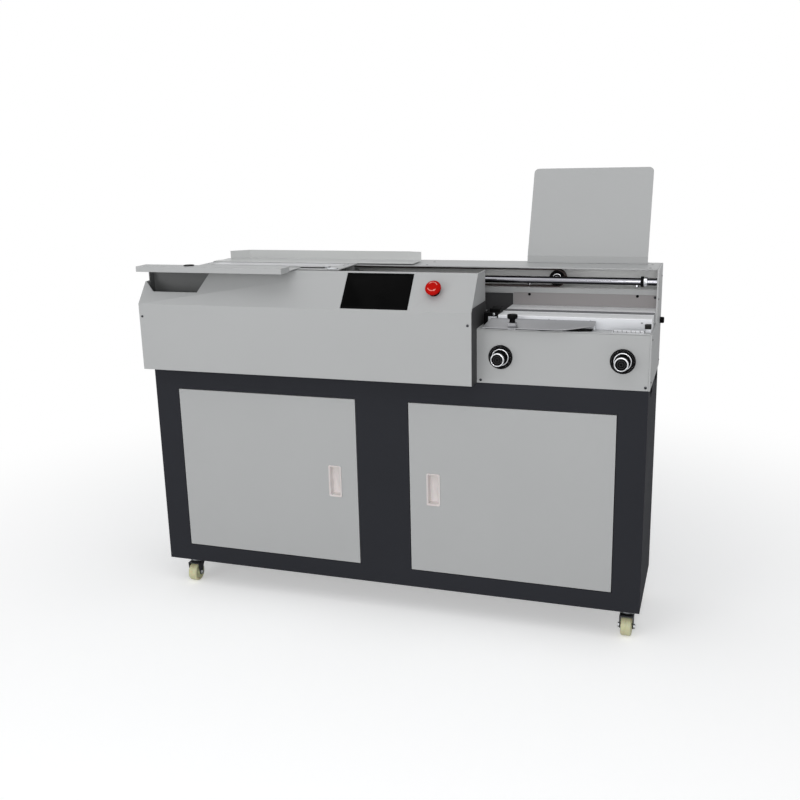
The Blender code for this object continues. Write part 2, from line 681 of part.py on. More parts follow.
def end_plates():
    """Left, right and rear walls of the upper body."""
    depth = (COVER_FOOT_Y + SEAT, BODY_DEPTH)
    left_x = (LEFT_PLATE_X, LEFT_PLATE_X + END_SHEET)
    shaft_bore = rod(SHAFT_RADIUS + BORE, (RIGHT_PLATE_X - OVER, RIGHT_OUTER + OVER), axis_x(SHAFT_Y, SHAFT_Z))
    tall_y = depth[0] + LEFT_TALL_DEPTH
    left = [
        (depth[0], BASE_Z), (depth[0], BODY_HEIGHT), (tall_y, BODY_HEIGHT), (tall_y, LEFT_LOW_HEIGHT),
        (depth[1], LEFT_LOW_HEIGHT), (depth[1], BASE_Z),
    ]
    flange_front = COVER_EDGE_Y + COVER_LIP + FLANGE_BEHIND_LIP
    flange = box((LEFT_PLATE_X, FLANGE_RIGHT), (flange_front, flange_front + END_SHEET), (FLANGE_LOW, FLANGE_TOP))
    piece("left_end_plate", PAINT_DARK, along_x(left, left_x), joins=[flange])
    rise_y = SHAFT_Y - RIGHT_RISE_BEFORE_SHAFT
    outline = [
        (0, BASE_Z), (0, RIGHT_LOW_HEIGHT), (rise_y, RIGHT_LOW_HEIGHT),
        (rise_y + RIGHT_RISE_RUN, BODY_HEIGHT), (BODY_DEPTH, BODY_HEIGHT), (BODY_DEPTH, BASE_Z),
    ]
    stem_x = (RIGHT_PLATE_X - OVER, RIGHT_OUTER + OVER)
    stem_hole = rod(SIDE_KNOB_STEM_RADIUS + BORE, stem_x, axis_x(SIDE_KNOB_Y, SIDE_KNOB_Z))
    right_plate = along_x(outline, (RIGHT_PLATE_X, RIGHT_OUTER))
    piece("right_end_plate", PAINT_GREY, right_plate, cuts=[shaft_bore, stem_hole])

    front = COVER_FRONT + BLACK_PLATE_INSET
    black = [
        (front, BASE_Z), (front, BLACK_PLATE_SHOULDER),
        (front + BLACK_PLATE_CORNER, BLACK_PLATE_TOP), (COVER_END_Y, BLACK_PLATE_TOP), (COVER_END_Y, BASE_Z),
    ]
    piece("inner_end_plate", BLACK_PLASTIC, along_x(black, (BLACK_PLATE_X, BLACK_PLATE_X + BLACK_PLATE_SHEET)))

    rear_y = (BEAM_BACK + SEAT, BEAM_BACK + SEAT + PANEL_SHEET)
    hole_x = (INLET_X - INLET_WIDTH / 2 - SEAT, INLET_X + INLET_WIDTH / 2 + SEAT)
    hole_z = (INLET_Z - INLET_HEIGHT / 2 - SEAT, INLET_Z + INLET_HEIGHT / 2 + SEAT)
    piece(
        "rear_panel", PAINT_DARK, box((INSIDE_LEFT, INSIDE_RIGHT), rear_y, (BASE_Z, BODY_HEIGHT)),
        cuts=[box(hole_x, (rear_y[0] - OVER, rear_y[1] + OVER), hole_z), low_corner(rear_y)],
    )
    rim = INLET_RIM
    rim_x = (hole_x[0] - rim, hole_x[1] + rim)
    rim_z = (hole_z[0] - rim, hole_z[1] + rim)
    body_x = (hole_x[0] + SEAT, hole_x[1] - SEAT)
    body_z = (hole_z[0] + SEAT, hole_z[1] - SEAT)
    flange_y = (rear_y[1] + SEAT, rear_y[1] + SEAT + INLET_FLANGE)
    socket_x = (body_x[0] + INLET_WALL, body_x[1] - INLET_WALL)
    socket_z = (body_z[0] + INLET_WALL, body_z[1] - INLET_WALL)
    body_y = (flange_y[1] - INLET_DEPTH, flange_y[1] - INLET_FLANGE / 2)
    piece(
        "power_inlet", BLACK_PLASTIC, box(rim_x, flange_y, rim_z),
        joins=[box(body_x, body_y, body_z)],
        cuts=[box(socket_x, (body_y[0] + INLET_WALL, flange_y[1] + OVER), socket_z)],
    )


def low_corner(y):
    """Cutter that takes the beam's and rear panel's upper left corner down to the left plate's low top."""
    x = (INSIDE_LEFT - OVER, BEAM_TOP_LEFT)
    return box(x, (y[0] - OVER, y[1] + OVER), (LEFT_LOW_HEIGHT, BODY_HEIGHT + OVER))


def slope_directions():
    """Unit (y, z) directions up the cover's slope and out from it."""
    rise = Vector((COVER_EDGE_Y - COVER_FRONT, COVER_TOP - COVER_FOLD_Z)).normalized()
    return rise, Vector((-rise.y, rise.x))


def slope(distance, out=0.0):
    """(y, z) of a point up the cover's slope by distance, and out from it along its normal."""
    rise, normal = slope_directions()
    point = Vector((COVER_FRONT, COVER_FOLD_Z)) + rise * distance + normal * out
    return point.x, point.y


def axis_slope(x, distance):
    """An axis square to the slope; heights are measured out from its face."""
    foot = Vector((x, *slope(distance)))
    up, out = slope_directions()
    across = Vector((1, 0, 0))
    rise = Vector((0, *up))
    normal = Vector((0, *out))
    return lambda a, b, height: tuple(foot + across * a + rise * b + normal * height)


def front_cover():
    """The folded cover with its window, button hole and corner notch."""
    outer = [
        (COVER_FRONT, BASE_Z), (COVER_FRONT, COVER_FOLD_Z), (COVER_EDGE_Y, COVER_TOP),
        (COVER_END_Y, COVER_TOP), (COVER_END_Y, BASE_Z),
    ]
    sheet = COVER_SHEET
    pitch = (COVER_TOP - COVER_FOLD_Z) / (COVER_EDGE_Y - COVER_FRONT)
    drop = sheet * math.hypot(1, pitch)
    fold_z = COVER_FOLD_Z + pitch * sheet - drop
    lip_z = COVER_TOP - sheet
    lip_y = COVER_FRONT + (lip_z + drop - COVER_FOLD_Z) / pitch
    lip_end = COVER_EDGE_Y + COVER_LIP
    inner = [
        (COVER_FRONT + sheet, BASE_Z + sheet), (COVER_FRONT + sheet, fold_z), (lip_y, lip_z),
        (lip_end, lip_z), (lip_end, COVER_TOP + OVER), (COVER_END_Y + OVER, COVER_TOP + OVER),
        (COVER_END_Y + OVER, BASE_Z - OVER), (COVER_FOOT_Y, BASE_Z - OVER), (COVER_FOOT_Y, BASE_Z + sheet),
    ]
    screen_x = (SCREEN_LEFT - SEAT, SCREEN_LEFT + SCREEN_WIDTH + SEAT)
    low = SCREEN_LOW - SEAT
    high = SCREEN_LOW + SCREEN_HEIGHT + SEAT
    window = [slope(low, OVER), slope(high, OVER), slope(high, -OVER), slope(low, -OVER)]
    notch = [
        (COVER_LEFT - OVER, NOTCH_LEFT_Z), (0, NOTCH_LEFT_Z), (NOTCH_LOW_LEFT, NOTCH_LOW_Z),
        (NOTCH_LOW_RIGHT, NOTCH_LOW_Z), (NOTCH_RIGHT, COVER_TOP + OVER), (COVER_LEFT - OVER, COVER_TOP + OVER),
    ]
    piece(
        "front_cover", PAINT_GREY, along_x(outer, (COVER_LEFT, COVER_RIGHT)),
        cuts=[
            along_x(inner, (COVER_LEFT + sheet, COVER_RIGHT - sheet)),
            along_x(window, screen_x),
            rod(STOP_STEM_RADIUS + BORE, (-OVER, OVER), axis_slope(STOP_X, STOP_UP_SLOPE), FINE_SIDES),
            along_y(notch, (COVER_FRONT - OVER, COVER_END_Y + OVER)),
        ],
    )


def touch_screen():
    """The flat panel that fills the cover's window."""
    low = SCREEN_LOW
    high = SCREEN_LOW + SCREEN_HEIGHT
    back = SCREEN_PROUD - SCREEN_THICK
    section = [slope(low, SCREEN_PROUD), slope(high, SCREEN_PROUD), slope(high, back), slope(low, back)]
    piece("touch_screen", BLACK_PLASTIC, along_x(section, (SCREEN_LEFT, SCREEN_LEFT + SCREEN_WIDTH)))


def emergency_stop():
    """Ring on the slope, a stem that is pressed in, and a head that twists on it."""
    place = axis_slope(STOP_X, STOP_UP_SLOPE)
    pivot = (STOP_X, *slope(STOP_UP_SLOPE))
    ring = tube(STOP_STEM_RADIUS + BORE, STOP_RING_RADIUS, (SEAT, SEAT + STOP_RING_THICK), place, FINE_SIDES)
    piece("stop_button_ring", BLACK_PLASTIC, ring, pivot=pivot, smooth=True)
    stem = rod(STOP_STEM_RADIUS, (-STOP_STEM_INSIDE, STOP_STEM_OUTSIDE), place)
    piece("stop_button_stem", BLACK_PLASTIC, stem, pivot=pivot, smooth=True)
    low = STOP_STEM_OUTSIDE + SEAT
    skirt = low + STOP_HEAD_SKIRT
    profile = [(STOP_HEAD_RADIUS, low), (STOP_HEAD_RADIUS, skirt)]
    for i in range(1, CORNER_STEPS):
        angle = math.pi / 2 * i / CORNER_STEPS
        profile.append((STOP_HEAD_RADIUS * math.cos(angle), skirt + STOP_HEAD_DOME * math.sin(angle)))
    profile.append((0, skirt + STOP_HEAD_DOME))
    piece("stop_button_head", RED_PLASTIC, turned(profile, place, FINE_SIDES), pivot=pivot, smooth=True)


def beam_and_drive():
    """Rear beam, guide shaft, belt, pulleys and the motor that pulls the carriage."""
    sheet = BEAM_SHEET
    wall_back = WALL_Y + sheet
    ledge_front = WALL_Y - LEDGE_PROUD
    outline = [
        (BEAM_FRONT, BEAM_TOP), (BEAM_BACK, BEAM_TOP), (BEAM_BACK, BEAM_TOP - sheet),
        (BEAM_WEB_Y, BEAM_TOP - sheet), (BEAM_WEB_Y, LEDGE_TOP - sheet), (wall_back, LEDGE_TOP - sheet),
        (wall_back, BASE_Z), (WALL_Y, BASE_Z), (WALL_Y, LEDGE_LOW), (ledge_front, LEDGE_LOW),
        (ledge_front, LEDGE_TOP), (WEB_FACE, LEDGE_TOP),
        (WEB_FACE, BEAM_TOP - sheet), (BEAM_FRONT, BEAM_TOP - sheet),
    ]
    window_right = BAR_LEFT + WINDOW_PAST_BAR
    window_top = LEDGE_LOW - sheet
    window_z = (window_top - WINDOW_HEIGHT, window_top)
    window = box((window_right - WINDOW_LENGTH, window_right), (WALL_Y - OVER, wall_back + OVER), window_z)
    pin_z = (LEDGE_TOP - sheet / 2, LEDGE_TOP + PIN_HEIGHT)
    pin_right = RIGHT_PLATE_X - PIN_FROM_PLATE
    pin_y = WALL_Y + PIN_BEHIND_WALL
    pins = [rod(PIN_RADIUS, pin_z, axis_z(x, pin_y)) for x in (pin_right - PIN_SPACING, pin_right)]
    corner = low_corner((BEAM_FRONT, BEAM_BACK))
    beam = along_x(outline, (INSIDE_LEFT, INSIDE_RIGHT))
    piece("rear_beam", PAINT_LIGHT, beam, joins=pins, cuts=[window, corner])

    shaft_place = axis_x(SHAFT_Y, SHAFT_Z)
    shaft_x = (INSIDE_LEFT, RIGHT_OUTER)
    piece("guide_shaft", STEEL, rod(SHAFT_RADIUS, shaft_x, shaft_place, FINE_SIDES), smooth=True)
    collar_right = RIGHT_PLATE_X - COLLAR_FROM_PLATE
    collar_x = (collar_right - COLLAR_WIDTH, collar_right)
    collar = tube(SHAFT_RADIUS + BORE, COLLAR_RADIUS, collar_x, shaft_place, FINE_SIDES)
    piece("shaft_collar", BLACK_PLASTIC, collar, smooth=True)

    belt_y = (BELT_FRONT, BELT_FRONT + BELT_WIDTH)
    outer = belt_outline(BELT_RADIUS + BELT_THICK)
    inner = belt_outline(BELT_RADIUS)
    hollow = along_y(inner, (belt_y[0] - OVER, belt_y[1] + OVER))
    piece("drive_belt", BELT_RUBBER, along_y(outer, belt_y), cuts=[hollow])
    pulleys = (("idler_pulley", IDLER_X, WEB_FACE - SEAT), ("drive_pulley", DRIVE_X, motor_front() - SEAT))
    for name, x, reach in pulleys:
        place = axis_y(x, BELT_Z)
        wheel_y = (belt_y[0] + SEAT, belt_y[1] - SEAT)
        profile = [
            (0, wheel_y[0]), (BELT_RADIUS - SEAT, wheel_y[0]), (BELT_RADIUS - SEAT, wheel_y[1]),
            (PULLEY_AXLE_RADIUS, wheel_y[1]), (PULLEY_AXLE_RADIUS, reach), (0, reach),
        ]
        piece(name, ALUMINIUM, turned(profile, place, FINE_SIDES), pivot=(x, BELT_Y, BELT_Z), smooth=True)
    half = MOTOR_SIZE / 2
    motor_y = (motor_front(), WEB_FACE - SEAT)
    motor = box((DRIVE_X - half, DRIVE_X + half), motor_y, (BELT_Z - half, BELT_Z + half))
    piece("carriage_motor", BLACK_PLASTIC, motor)


def motor_front():
    """Y of the carriage motor's front face."""
    return WEB_FACE - SEAT - MOTOR_DEPTH


def belt_outline(radius):
    """The belt's loop in (x, z): two half circles joined by straight runs."""
    left = arc((DRIVE_X, BELT_Z), radius, math.pi / 2, math.pi * 3 / 2, CORNER_STEPS * 2)
    right = arc((IDLER_X, BELT_Z), radius, -math.pi / 2, math.pi / 2, CORNER_STEPS * 2)
    return left + right


def carriage():
    """The clamp: top frame with the front jaw, and the rear jaw that slides in it."""
    frame_z = (RIDE_Z, FRAME_TOP)
    slot_x = (JAW_LEFT - SEAT, JAW_RIGHT + SEAT)
    slot_y = (JAW_FACE_Y, CARRIAGE_BACK + OVER)
    blade_z = (JAW_BOTTOM, RIDE_Z + FRAME_SHEET / 2)
    joins = [box((JAW_LEFT, JAW_RIGHT), (JAW_FACE_Y - JAW_FRONT_THICK, JAW_FACE_Y), blade_z)]
    bores = []
    hanger = SHAFT_Y - HANGER_BEFORE_SHAFT
    block_y = (hanger, BELT_FRONT - SLIDE)
    block_z = (SHAFT_Z - BLOCK_HALF, SHAFT_Z + BLOCK_HALF)
    hanger_z = (block_z[1] - FRAME_SHEET, RIDE_Z + FRAME_SHEET / 2)
    for start in (CARRIAGE_LEFT, JAW_RIGHT + SEAT):
        block_x = (start, start + HANGER_LENGTH)
        joins.append(box(block_x, (hanger, hanger + HANGER_THICK), hanger_z))
        joins.append(box(block_x, block_y, block_z))
        bore_x = (block_x[0] - OVER, block_x[1] + OVER)
        bores.append(rod(SHAFT_RADIUS + BORE, bore_x, axis_x(SHAFT_Y, SHAFT_Z), FINE_SIDES))
    plate = box((CARRIAGE_LEFT, CARRIAGE_RIGHT), (CARRIAGE_FRONT, CARRIAGE_BACK), frame_z)
    slot = box(slot_x, slot_y, (RIDE_Z - OVER / 2, FRAME_TOP + OVER))
    piece("carriage_frame", STEEL, plate, joins=joins, cuts=[slot] + bores)

    plate_back = JAW_REAR_Y + JAW_PLATE_DEPTH
    rear = [
        (JAW_REAR_Y, JAW_BOTTOM), (JAW_REAR_Y, FRAME_TOP), (plate_back, FRAME_TOP),
        (plate_back, RIDE_Z), (JAW_REAR_Y + JAW_REAR_THICK, RIDE_Z), (JAW_REAR_Y + JAW_REAR_THICK, JAW_BOTTOM),
    ]
    piece("rear_jaw", STEEL, along_x(rear, (JAW_LEFT, JAW_RIGHT)))


def wall(start, end, thick, z):
    """An upright sheet from one (x, y) point to another, thick to the left of that direction."""
    run = Vector((end[0] - start[0], end[1] - start[1])).normalized()
    side = Vector((-run.y, run.x)) * thick
    outline = [start, end, (end[0] + side.x, end[1] + side.y), (start[0] + side.x, start[1] + side.y)]
    return along_z(outline, z)


def trays():
    """Front tray, rear tray and the leaning paper support."""
    sheet = TRAY_SHEET
    front = CARRIAGE_FRONT - FRONT_TRAY_REACH
    back = front + FRONT_TRAY_DEPTH
    foot = back + FRONT_TRAY_FOOT
    top = RIDE_Z + FRONT_TRAY_HEIGHT
    section = [
        (front, RIDE_Z), (front, top), (back, top), (back, TRAY_FLOOR + sheet),
        (foot, TRAY_FLOOR + sheet), (foot, TRAY_FLOOR), (back - sheet, TRAY_FLOOR),
        (back - sheet, top - sheet), (front + sheet, top - sheet), (front + sheet, RIDE_Z),
    ]
    left = CARRIAGE_LEFT - FRONT_TRAY_OVERHANG
    span = (left, left + FRONT_TRAY_LENGTH)
    end_y = (front + sheet / 2, back - sheet / 2)
    end_z = (RIDE_Z, top - sheet / 2)
    ends = [
        box((span[0], span[0] + sheet), end_y, end_z),
        box((span[1] - sheet, span[1]), end_y, end_z),
    ]
    piece("front_tray", PAINT_GREY, along_x(section, span), joins=ends)
    knob_x = left + TRAY_KNOB_INSET
    knob_y = back - TRAY_KNOB_FROM_BACK
    knob_low = top + SEAT
    knob = rod(TRAY_KNOB_RADIUS, (knob_low, knob_low + TRAY_KNOB_HEIGHT), axis_z(knob_x, knob_y), FINE_SIDES)
    piece("tray_knob", BLACK_PLASTIC, knob, pivot=(knob_x, knob_y, knob_low), smooth=True)

    wall_y = SHAFT_Y + REAR_WALL_BEHIND_SHAFT
    tray_y = SHAFT_Y - REAR_TRAY_BEFORE_SHAFT
    back_left = (CARRIAGE_LEFT + REAR_WALL_LEFT_INSET, wall_y)
    back_right = (CARRIAGE_RIGHT + REAR_WALL_OVERHANG, wall_y)
    splay_left = (back_left[0] - SPLAY_LEFT_RUN[0], wall_y - SPLAY_LEFT_RUN[1])
    splay_right = (back_right[0] + SPLAY_RIGHT_RUN[0], wall_y - SPLAY_RIGHT_RUN[1])
    floor = [
        (CARRIAGE_LEFT, tray_y), (CARRIAGE_RIGHT, tray_y), (CARRIAGE_RIGHT, wall_y - REAR_SHELF_DEPTH),
        (splay_right[0], wall_y - REAR_SHELF_DEPTH), splay_right,
        back_right, back_left, splay_left, (CARRIAGE_LEFT, wall_y - LEFT_EDGE_SETBACK),
    ]
    wall_z = (TRAY_FLOOR + sheet / 2, RIDE_Z + REAR_TRAY_HEIGHT)
    walls = [
        wall(back_left, back_right, -sheet, wall_z),
        wall(splay_left, back_left, -sheet, wall_z),
        wall(back_right, splay_right, -sheet, wall_z),
    ]
    piece("rear_tray", PAINT_LIGHT, along_z(floor, (TRAY_FLOOR, TRAY_FLOOR + sheet)), joins=walls)

    paper_support()


def paper_support():
    """A plate on a short folded base, leaning back, with round top corners."""
    sheet = SUPPORT_SHEET
    left = SUPPORT_LEFT
    right = SUPPORT_LEFT + SUPPORT_WIDTH
    base_z = (BEAM_TOP + SEAT, BEAM_TOP + SEAT + SUPPORT_BASE_HEIGHT)
    foot = box((left, right), (SUPPORT_Y, SUPPORT_Y + SUPPORT_FOOT), (base_z[0], base_z[0] + sheet))
    upright = box((left, right), (SUPPORT_Y, SUPPORT_Y + sheet), (base_z[0], base_z[1] + sheet))
    radius = SUPPORT_CORNER
    top_left = arc((left + radius, SUPPORT_LENGTH - radius), radius, math.pi, math.pi / 2, CORNER_STEPS)
    top_right = arc((right - radius, SUPPORT_LENGTH - radius), radius, math.pi / 2, 0, CORNER_STEPS)
    outline = [(left, 0)] + top_left + top_right + [(right, 0)]
    lean_y = math.sin(SUPPORT_LEAN)
    lean_z = math.cos(SUPPORT_LEAN)

    def leaning(x, up, out):
        return x, SUPPORT_Y + up * lean_y + out * lean_z, base_z[1] + up * lean_z - out * lean_y

    plate = swept(outline, (0, sheet), leaning)
    piece("paper_support", PAINT_GREY, plate, joins=[foot, upright])


def processing():
    """Milling cutter, glue tank with its rollers, and the control box."""
    tank_right = COVER_RIGHT - TANK_FROM_END
    tank_x = (tank_right - TANK_LENGTH, tank_right)
    tank_y = (BOOK_Y - TANK_DEPTH / 2, BOOK_Y + TANK_DEPTH / 2)
    tank_top = BASE_Z + TANK_HEIGHT
    cutter_x = tank_x[0] - CUTTER_BEFORE_TANK
    cutter_top = JAW_BOTTOM - CUTTER_BELOW_JAW
    disc_low = cutter_top - CUTTER_THICK
    stem_low = disc_low - CUTTER_STEM
    half = CUTTER_MOTOR / 2
    motor_x = (cutter_x - half, cutter_x + half)
    motor_y = (BOOK_Y - half, BOOK_Y + half)
    piece("cutter_motor", BLACK_PLASTIC, box(motor_x, motor_y, (BASE_Z, stem_low - SEAT)))
    profile = [
        (0, stem_low), (CUTTER_STEM_RADIUS, stem_low), (CUTTER_STEM_RADIUS, disc_low),
        (CUTTER_RADIUS, disc_low), (CUTTER_RADIUS, cutter_top), (0, cutter_top),
    ]
    cutter = turned(profile, axis_z(cutter_x, BOOK_Y), FINE_SIDES)
    piece("milling_cutter", STEEL, cutter, pivot=(cutter_x, BOOK_Y, disc_low), smooth=True)

    inside_x = (tank_x[0] + TANK_WALL, tank_x[1] - TANK_WALL)
    inside_y = (tank_y[0] + TANK_WALL, tank_y[1] - TANK_WALL)
    cuts = [box(inside_x, inside_y, (tank_top - TANK_HOLLOW, tank_top + OVER))]
    roller_z = tank_top - ROLLER_SINK
    rollers = {"left_glue_roller": tank_x[0] + ROLLER_INSET, "right_glue_roller": tank_x[1] - ROLLER_INSET}
    for x in rollers.values():
        cuts.append(rod(ROLLER_AXLE_RADIUS + BORE, (tank_y[0] - OVER, tank_y[1] + OVER), axis_y(x, roller_z)))
    piece("glue_tank", ALUMINIUM, box(tank_x, tank_y, (BASE_Z, tank_top)), cuts=cuts)
    for name, x in rollers.items():
        barrel = (inside_y[0] + SLIDE, inside_y[1] - SLIDE)
        profile = [
            (0, tank_y[0]), (ROLLER_AXLE_RADIUS, tank_y[0]), (ROLLER_AXLE_RADIUS, barrel[0]),
            (ROLLER_RADIUS, barrel[0]), (ROLLER_RADIUS, barrel[1]), (ROLLER_AXLE_RADIUS, barrel[1]),
            (ROLLER_AXLE_RADIUS, tank_y[1]), (0, tank_y[1]),
        ]
        roller = turned(profile, axis_y(x, roller_z), FINE_SIDES)
        piece(name, STEEL, roller, pivot=(x, BOOK_Y, roller_z), smooth=True)

    box_x = (BOX_LEFT, BOX_LEFT + BOX_LENGTH)
    box_front = SHAFT_Y + BOX_BEHIND_SHAFT
    housing = box(box_x, (box_front, box_front + BOX_DEPTH), (BASE_Z, BASE_Z + BOX_HEIGHT))
    piece("control_box", PAINT_LIGHT, housing)


def station():
    """Front panel, table and nip bars on the right."""
    panel_z = (BASE_Z, TABLE_TOP - TABLE_SHEET - SEAT)
    cuts = []
    for x, z in (LEFT_DIAL, RIGHT_DIAL):
        cuts.append(rod(DIAL_SHAFT_RADIUS + BORE, (-OVER, FRONT_PANEL_SHEET + OVER), axis_y(x, z)))
    panel = box((STATION_LEFT, RIGHT_PLATE_X - SEAT), (0, FRONT_PANEL_SHEET), panel_z)
    piece("station_front_panel", PAINT_GREY, panel, cuts=cuts)

    bar_right = INSIDE_RIGHT
    table_z = (TABLE_TOP - TABLE_SHEET, TABLE_TOP)
    piece("station_table", PAINT_LIGHT, box((STATION_LEFT, bar_right), (0, WALL_Y - SEAT), table_z))
    bar_z = (TABLE_TOP + SEAT, BAR_TOP)
    front_y = (FRONT_BAR_Y, FRONT_BAR_Y + FRONT_BAR_DEPTH)
    rear_y = (front_y[1] + NIP_GAP, WALL_Y - SEAT)
    piece("front_nip_bar", ALUMINIUM, box((BAR_LEFT, bar_right), front_y, bar_z))
    piece("rear_nip_bar", ALUMINIUM, box((BAR_LEFT, bar_right), rear_y, bar_z))

    side_guide()


def side_guide():
    """The sheet that rises from the table to the nip, with its foot block and clamp knob."""
    base = TABLE_TOP + SEAT
    left = COVER_RIGHT + GUIDE_FROM_COVER
    rear = FRONT_BAR_Y - GUIDE_BAR_GAP
    outline = [(left + GUIDE_LENGTH * along, GUIDE_DEPTH * before) for along, before in GUIDE_OUTLINE_SHARES]

    def rising(x, before, lift):
        climb = GUIDE_RISE * (GUIDE_DEPTH - before) / GUIDE_DEPTH
        return x, rear - before, base + GUIDE_FRONT_LIFT + climb + lift

    knob_x = COVER_RIGHT + GUIDE_KNOB_FROM_COVER
    knob_y = FRONT_BAR_Y - GUIDE_KNOB_BEFORE_BAR
    half_x = GUIDE_BLOCK_WIDTH / 2
    half_y = GUIDE_BLOCK_DEPTH / 2
    block_x = (knob_x - half_x, knob_x + half_x)
    block_y = (knob_y - half_y, knob_y + half_y)
    block = box(block_x, block_y, (base, base + GUIDE_BLOCK_HEIGHT))
    sheet = swept(outline, (0, GUIDE_SHEET), rising)
    piece("side_guide", STEEL, sheet, joins=[block], pivot=(knob_x, knob_y, base))

    neck = base + GUIDE_BLOCK_HEIGHT + SEAT
    head = neck + GUIDE_KNOB_NECK
    top = head + GUIDE_KNOB_HEAD
    profile = [
        (0, neck), (GUIDE_KNOB_NECK_RADIUS, neck), (GUIDE_KNOB_NECK_RADIUS, head),
        (GUIDE_KNOB_RADIUS, head), (GUIDE_KNOB_RADIUS, top), (0, top),
    ]
    knob = turned(profile, axis_z(knob_x, knob_y), FINE_SIDES)
    piece("side_guide_knob", BLACK_PLASTIC, knob, pivot=(knob_x, knob_y, neck), smooth=True)


def dial(name, x, z):
    """A scale ring on the panel and a knob whose shaft goes through it."""
    place = axis_y(x, z)
    ring_y = (-SEAT - DIAL_RING_THICK, -SEAT)
    ring = tube(DIAL_SHAFT_RADIUS + BORE, DIAL_RING_RADIUS, ring_y, place, FINE_SIDES)
    piece(f"{name}_dial_ring", BLACK_PLASTIC, ring, pivot=(x, 0, z), smooth=True)
    face = ring_y[0] - SEAT
    tip = face - DIAL_DEPTH
    profile = [
        (0, DIAL_SHAFT_INSIDE), (DIAL_SHAFT_RADIUS, DIAL_SHAFT_INSIDE), (DIAL_SHAFT_RADIUS, face),
        (DIAL_SKIRT_RADIUS, face), (DIAL_SKIRT_RADIUS, face - DIAL_SKIRT), (DIAL_KNOB_RADIUS, face - DIAL_SKIRT),
        (DIAL_KNOB_RADIUS, tip), (0, tip),
    ]
    knob = turned(profile, place, FINE_SIDES)
    piece(f"{name}_dial_knob", BLACK_PLASTIC, knob, pivot=(x, face, z), smooth=True)


def side_knob():
    """The small clamp knob on the right end plate."""
    start = RIGHT_PLATE_X - SIDE_KNOB_STEM_INSIDE
    face = RIGHT_OUTER + SEAT
    profile = [
        (0, start), (SIDE_KNOB_STEM_RADIUS, start), (SIDE_KNOB_STEM_RADIUS, face),
        (SIDE_KNOB_RADIUS, face), (SIDE_KNOB_RADIUS, SIDE_KNOB_TIP), (0, SIDE_KNOB_TIP),
    ]
    knob = turned(profile, axis_x(SIDE_KNOB_Y, SIDE_KNOB_Z), PLAIN_SIDES)
    piece("side_knob", BLACK_PLASTIC, knob, pivot=(face, SIDE_KNOB_Y, SIDE_KNOB_Z), smooth=True)


clear_scene()
machine = bpy.data.objects.new("machine", None)
bpy.context.collection.objects.link(machine)
machine.location = (-MIDDLE_X, -MIDDLE_Y, CASTOR_HEIGHT)
upper_body = bpy.data.objects.new("upper_body", None)
bpy.context.collection.objects.link(upper_body)
upper_body.parent = machine
upper_body.location = (0, 0, CAB_HEIGHT)

cabinet()
left_pivot, right_pivot = pivot_places()
door("left", POST_WIDTH + DOOR_GAP, MID_POST_LEFT - DOOR_GAP, left_pivot, True)
door("right", MID_POST_RIGHT + DOOR_GAP, CAB_WIDTH - POST_WIDTH - DOOR_GAP, right_pivot, False)

front_y = CASTOR_Y_INSET
back_y = CAB_DEPTH - CASTOR_Y_INSET
left_x = CASTOR_LEFT_INSET
right_x = CAB_WIDTH - CASTOR_RIGHT_INSET
castor("front_left_castor", left_x, front_y, math.radians(-90.0))
castor("front_right_castor", right_x, front_y, math.radians(-90.0))
castor("rear_left_castor", left_x, back_y, math.radians(-35.0))
castor("rear_right_castor", right_x, back_y, math.radians(160.0))

end_plates()
front_cover()
touch_screen()
emergency_stop()
beam_and_drive()
carriage()
trays()
processing()
station()
dial("left", *LEFT_DIAL)
dial("right", *RIGHT_DIAL)
side_knob()
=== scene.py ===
# %% [markdown]
# # A floor-standing glue binding machine
# The machine stands on a steel cabinet with two doors and four castors. Above it lie a long folded
# cover with a touch screen, a book clamp that slides on a shaft, and a pressing station with two dials.
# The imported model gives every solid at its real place. The cells below dress it: materials first,
# then one cell for each kind of detail that the solids are too plain for.

import math

import bmesh
import bpy
import numpy as np
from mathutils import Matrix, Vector


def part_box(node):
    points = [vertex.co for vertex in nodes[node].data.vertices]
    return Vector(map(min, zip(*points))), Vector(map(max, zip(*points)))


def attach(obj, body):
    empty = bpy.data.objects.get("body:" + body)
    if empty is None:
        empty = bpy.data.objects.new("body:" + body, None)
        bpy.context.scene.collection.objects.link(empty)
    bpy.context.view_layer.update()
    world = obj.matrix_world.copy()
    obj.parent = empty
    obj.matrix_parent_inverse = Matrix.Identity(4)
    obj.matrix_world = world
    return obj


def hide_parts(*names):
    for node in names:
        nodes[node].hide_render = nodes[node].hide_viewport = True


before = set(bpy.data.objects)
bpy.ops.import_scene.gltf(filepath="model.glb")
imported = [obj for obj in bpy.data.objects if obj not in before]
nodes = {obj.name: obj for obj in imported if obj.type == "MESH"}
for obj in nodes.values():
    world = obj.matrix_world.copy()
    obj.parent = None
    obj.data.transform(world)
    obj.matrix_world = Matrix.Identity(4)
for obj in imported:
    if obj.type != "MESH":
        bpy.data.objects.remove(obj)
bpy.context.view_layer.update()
corner = np.array(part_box("cabinet_frame")[0])
print("nodes:", len(nodes), "cabinet corner at", corner.round(4))

# %% [markdown]
# Places on the machine are in metres from the cabinet's left front lower corner, as a fitter would tape
# them: X to the right, Y to the back, Z up. One helper turns such a place into the model's frame.
# Outlines and profiles are in millimetres.


# %% A place measured from the cabinet's corner
def place(x, y, z):
    """Adds the cabinet's corner to a place."""
    return np.array([x, y, z], float) + corner


millimetre = 0.001
print("a place 100 mm up the left post:", place(0, 0, 100 * millimetre))

# %% [markdown]
# ## The camera
# The photograph was taken from the right of the machine's middle, a little above the table. A lens of
# 43.5 mm and this place and turn put the cabinet's straight edges within a fifth of a pixel of the
# photograph's. The picture is square, so the sensor's 36 mm fits its width.

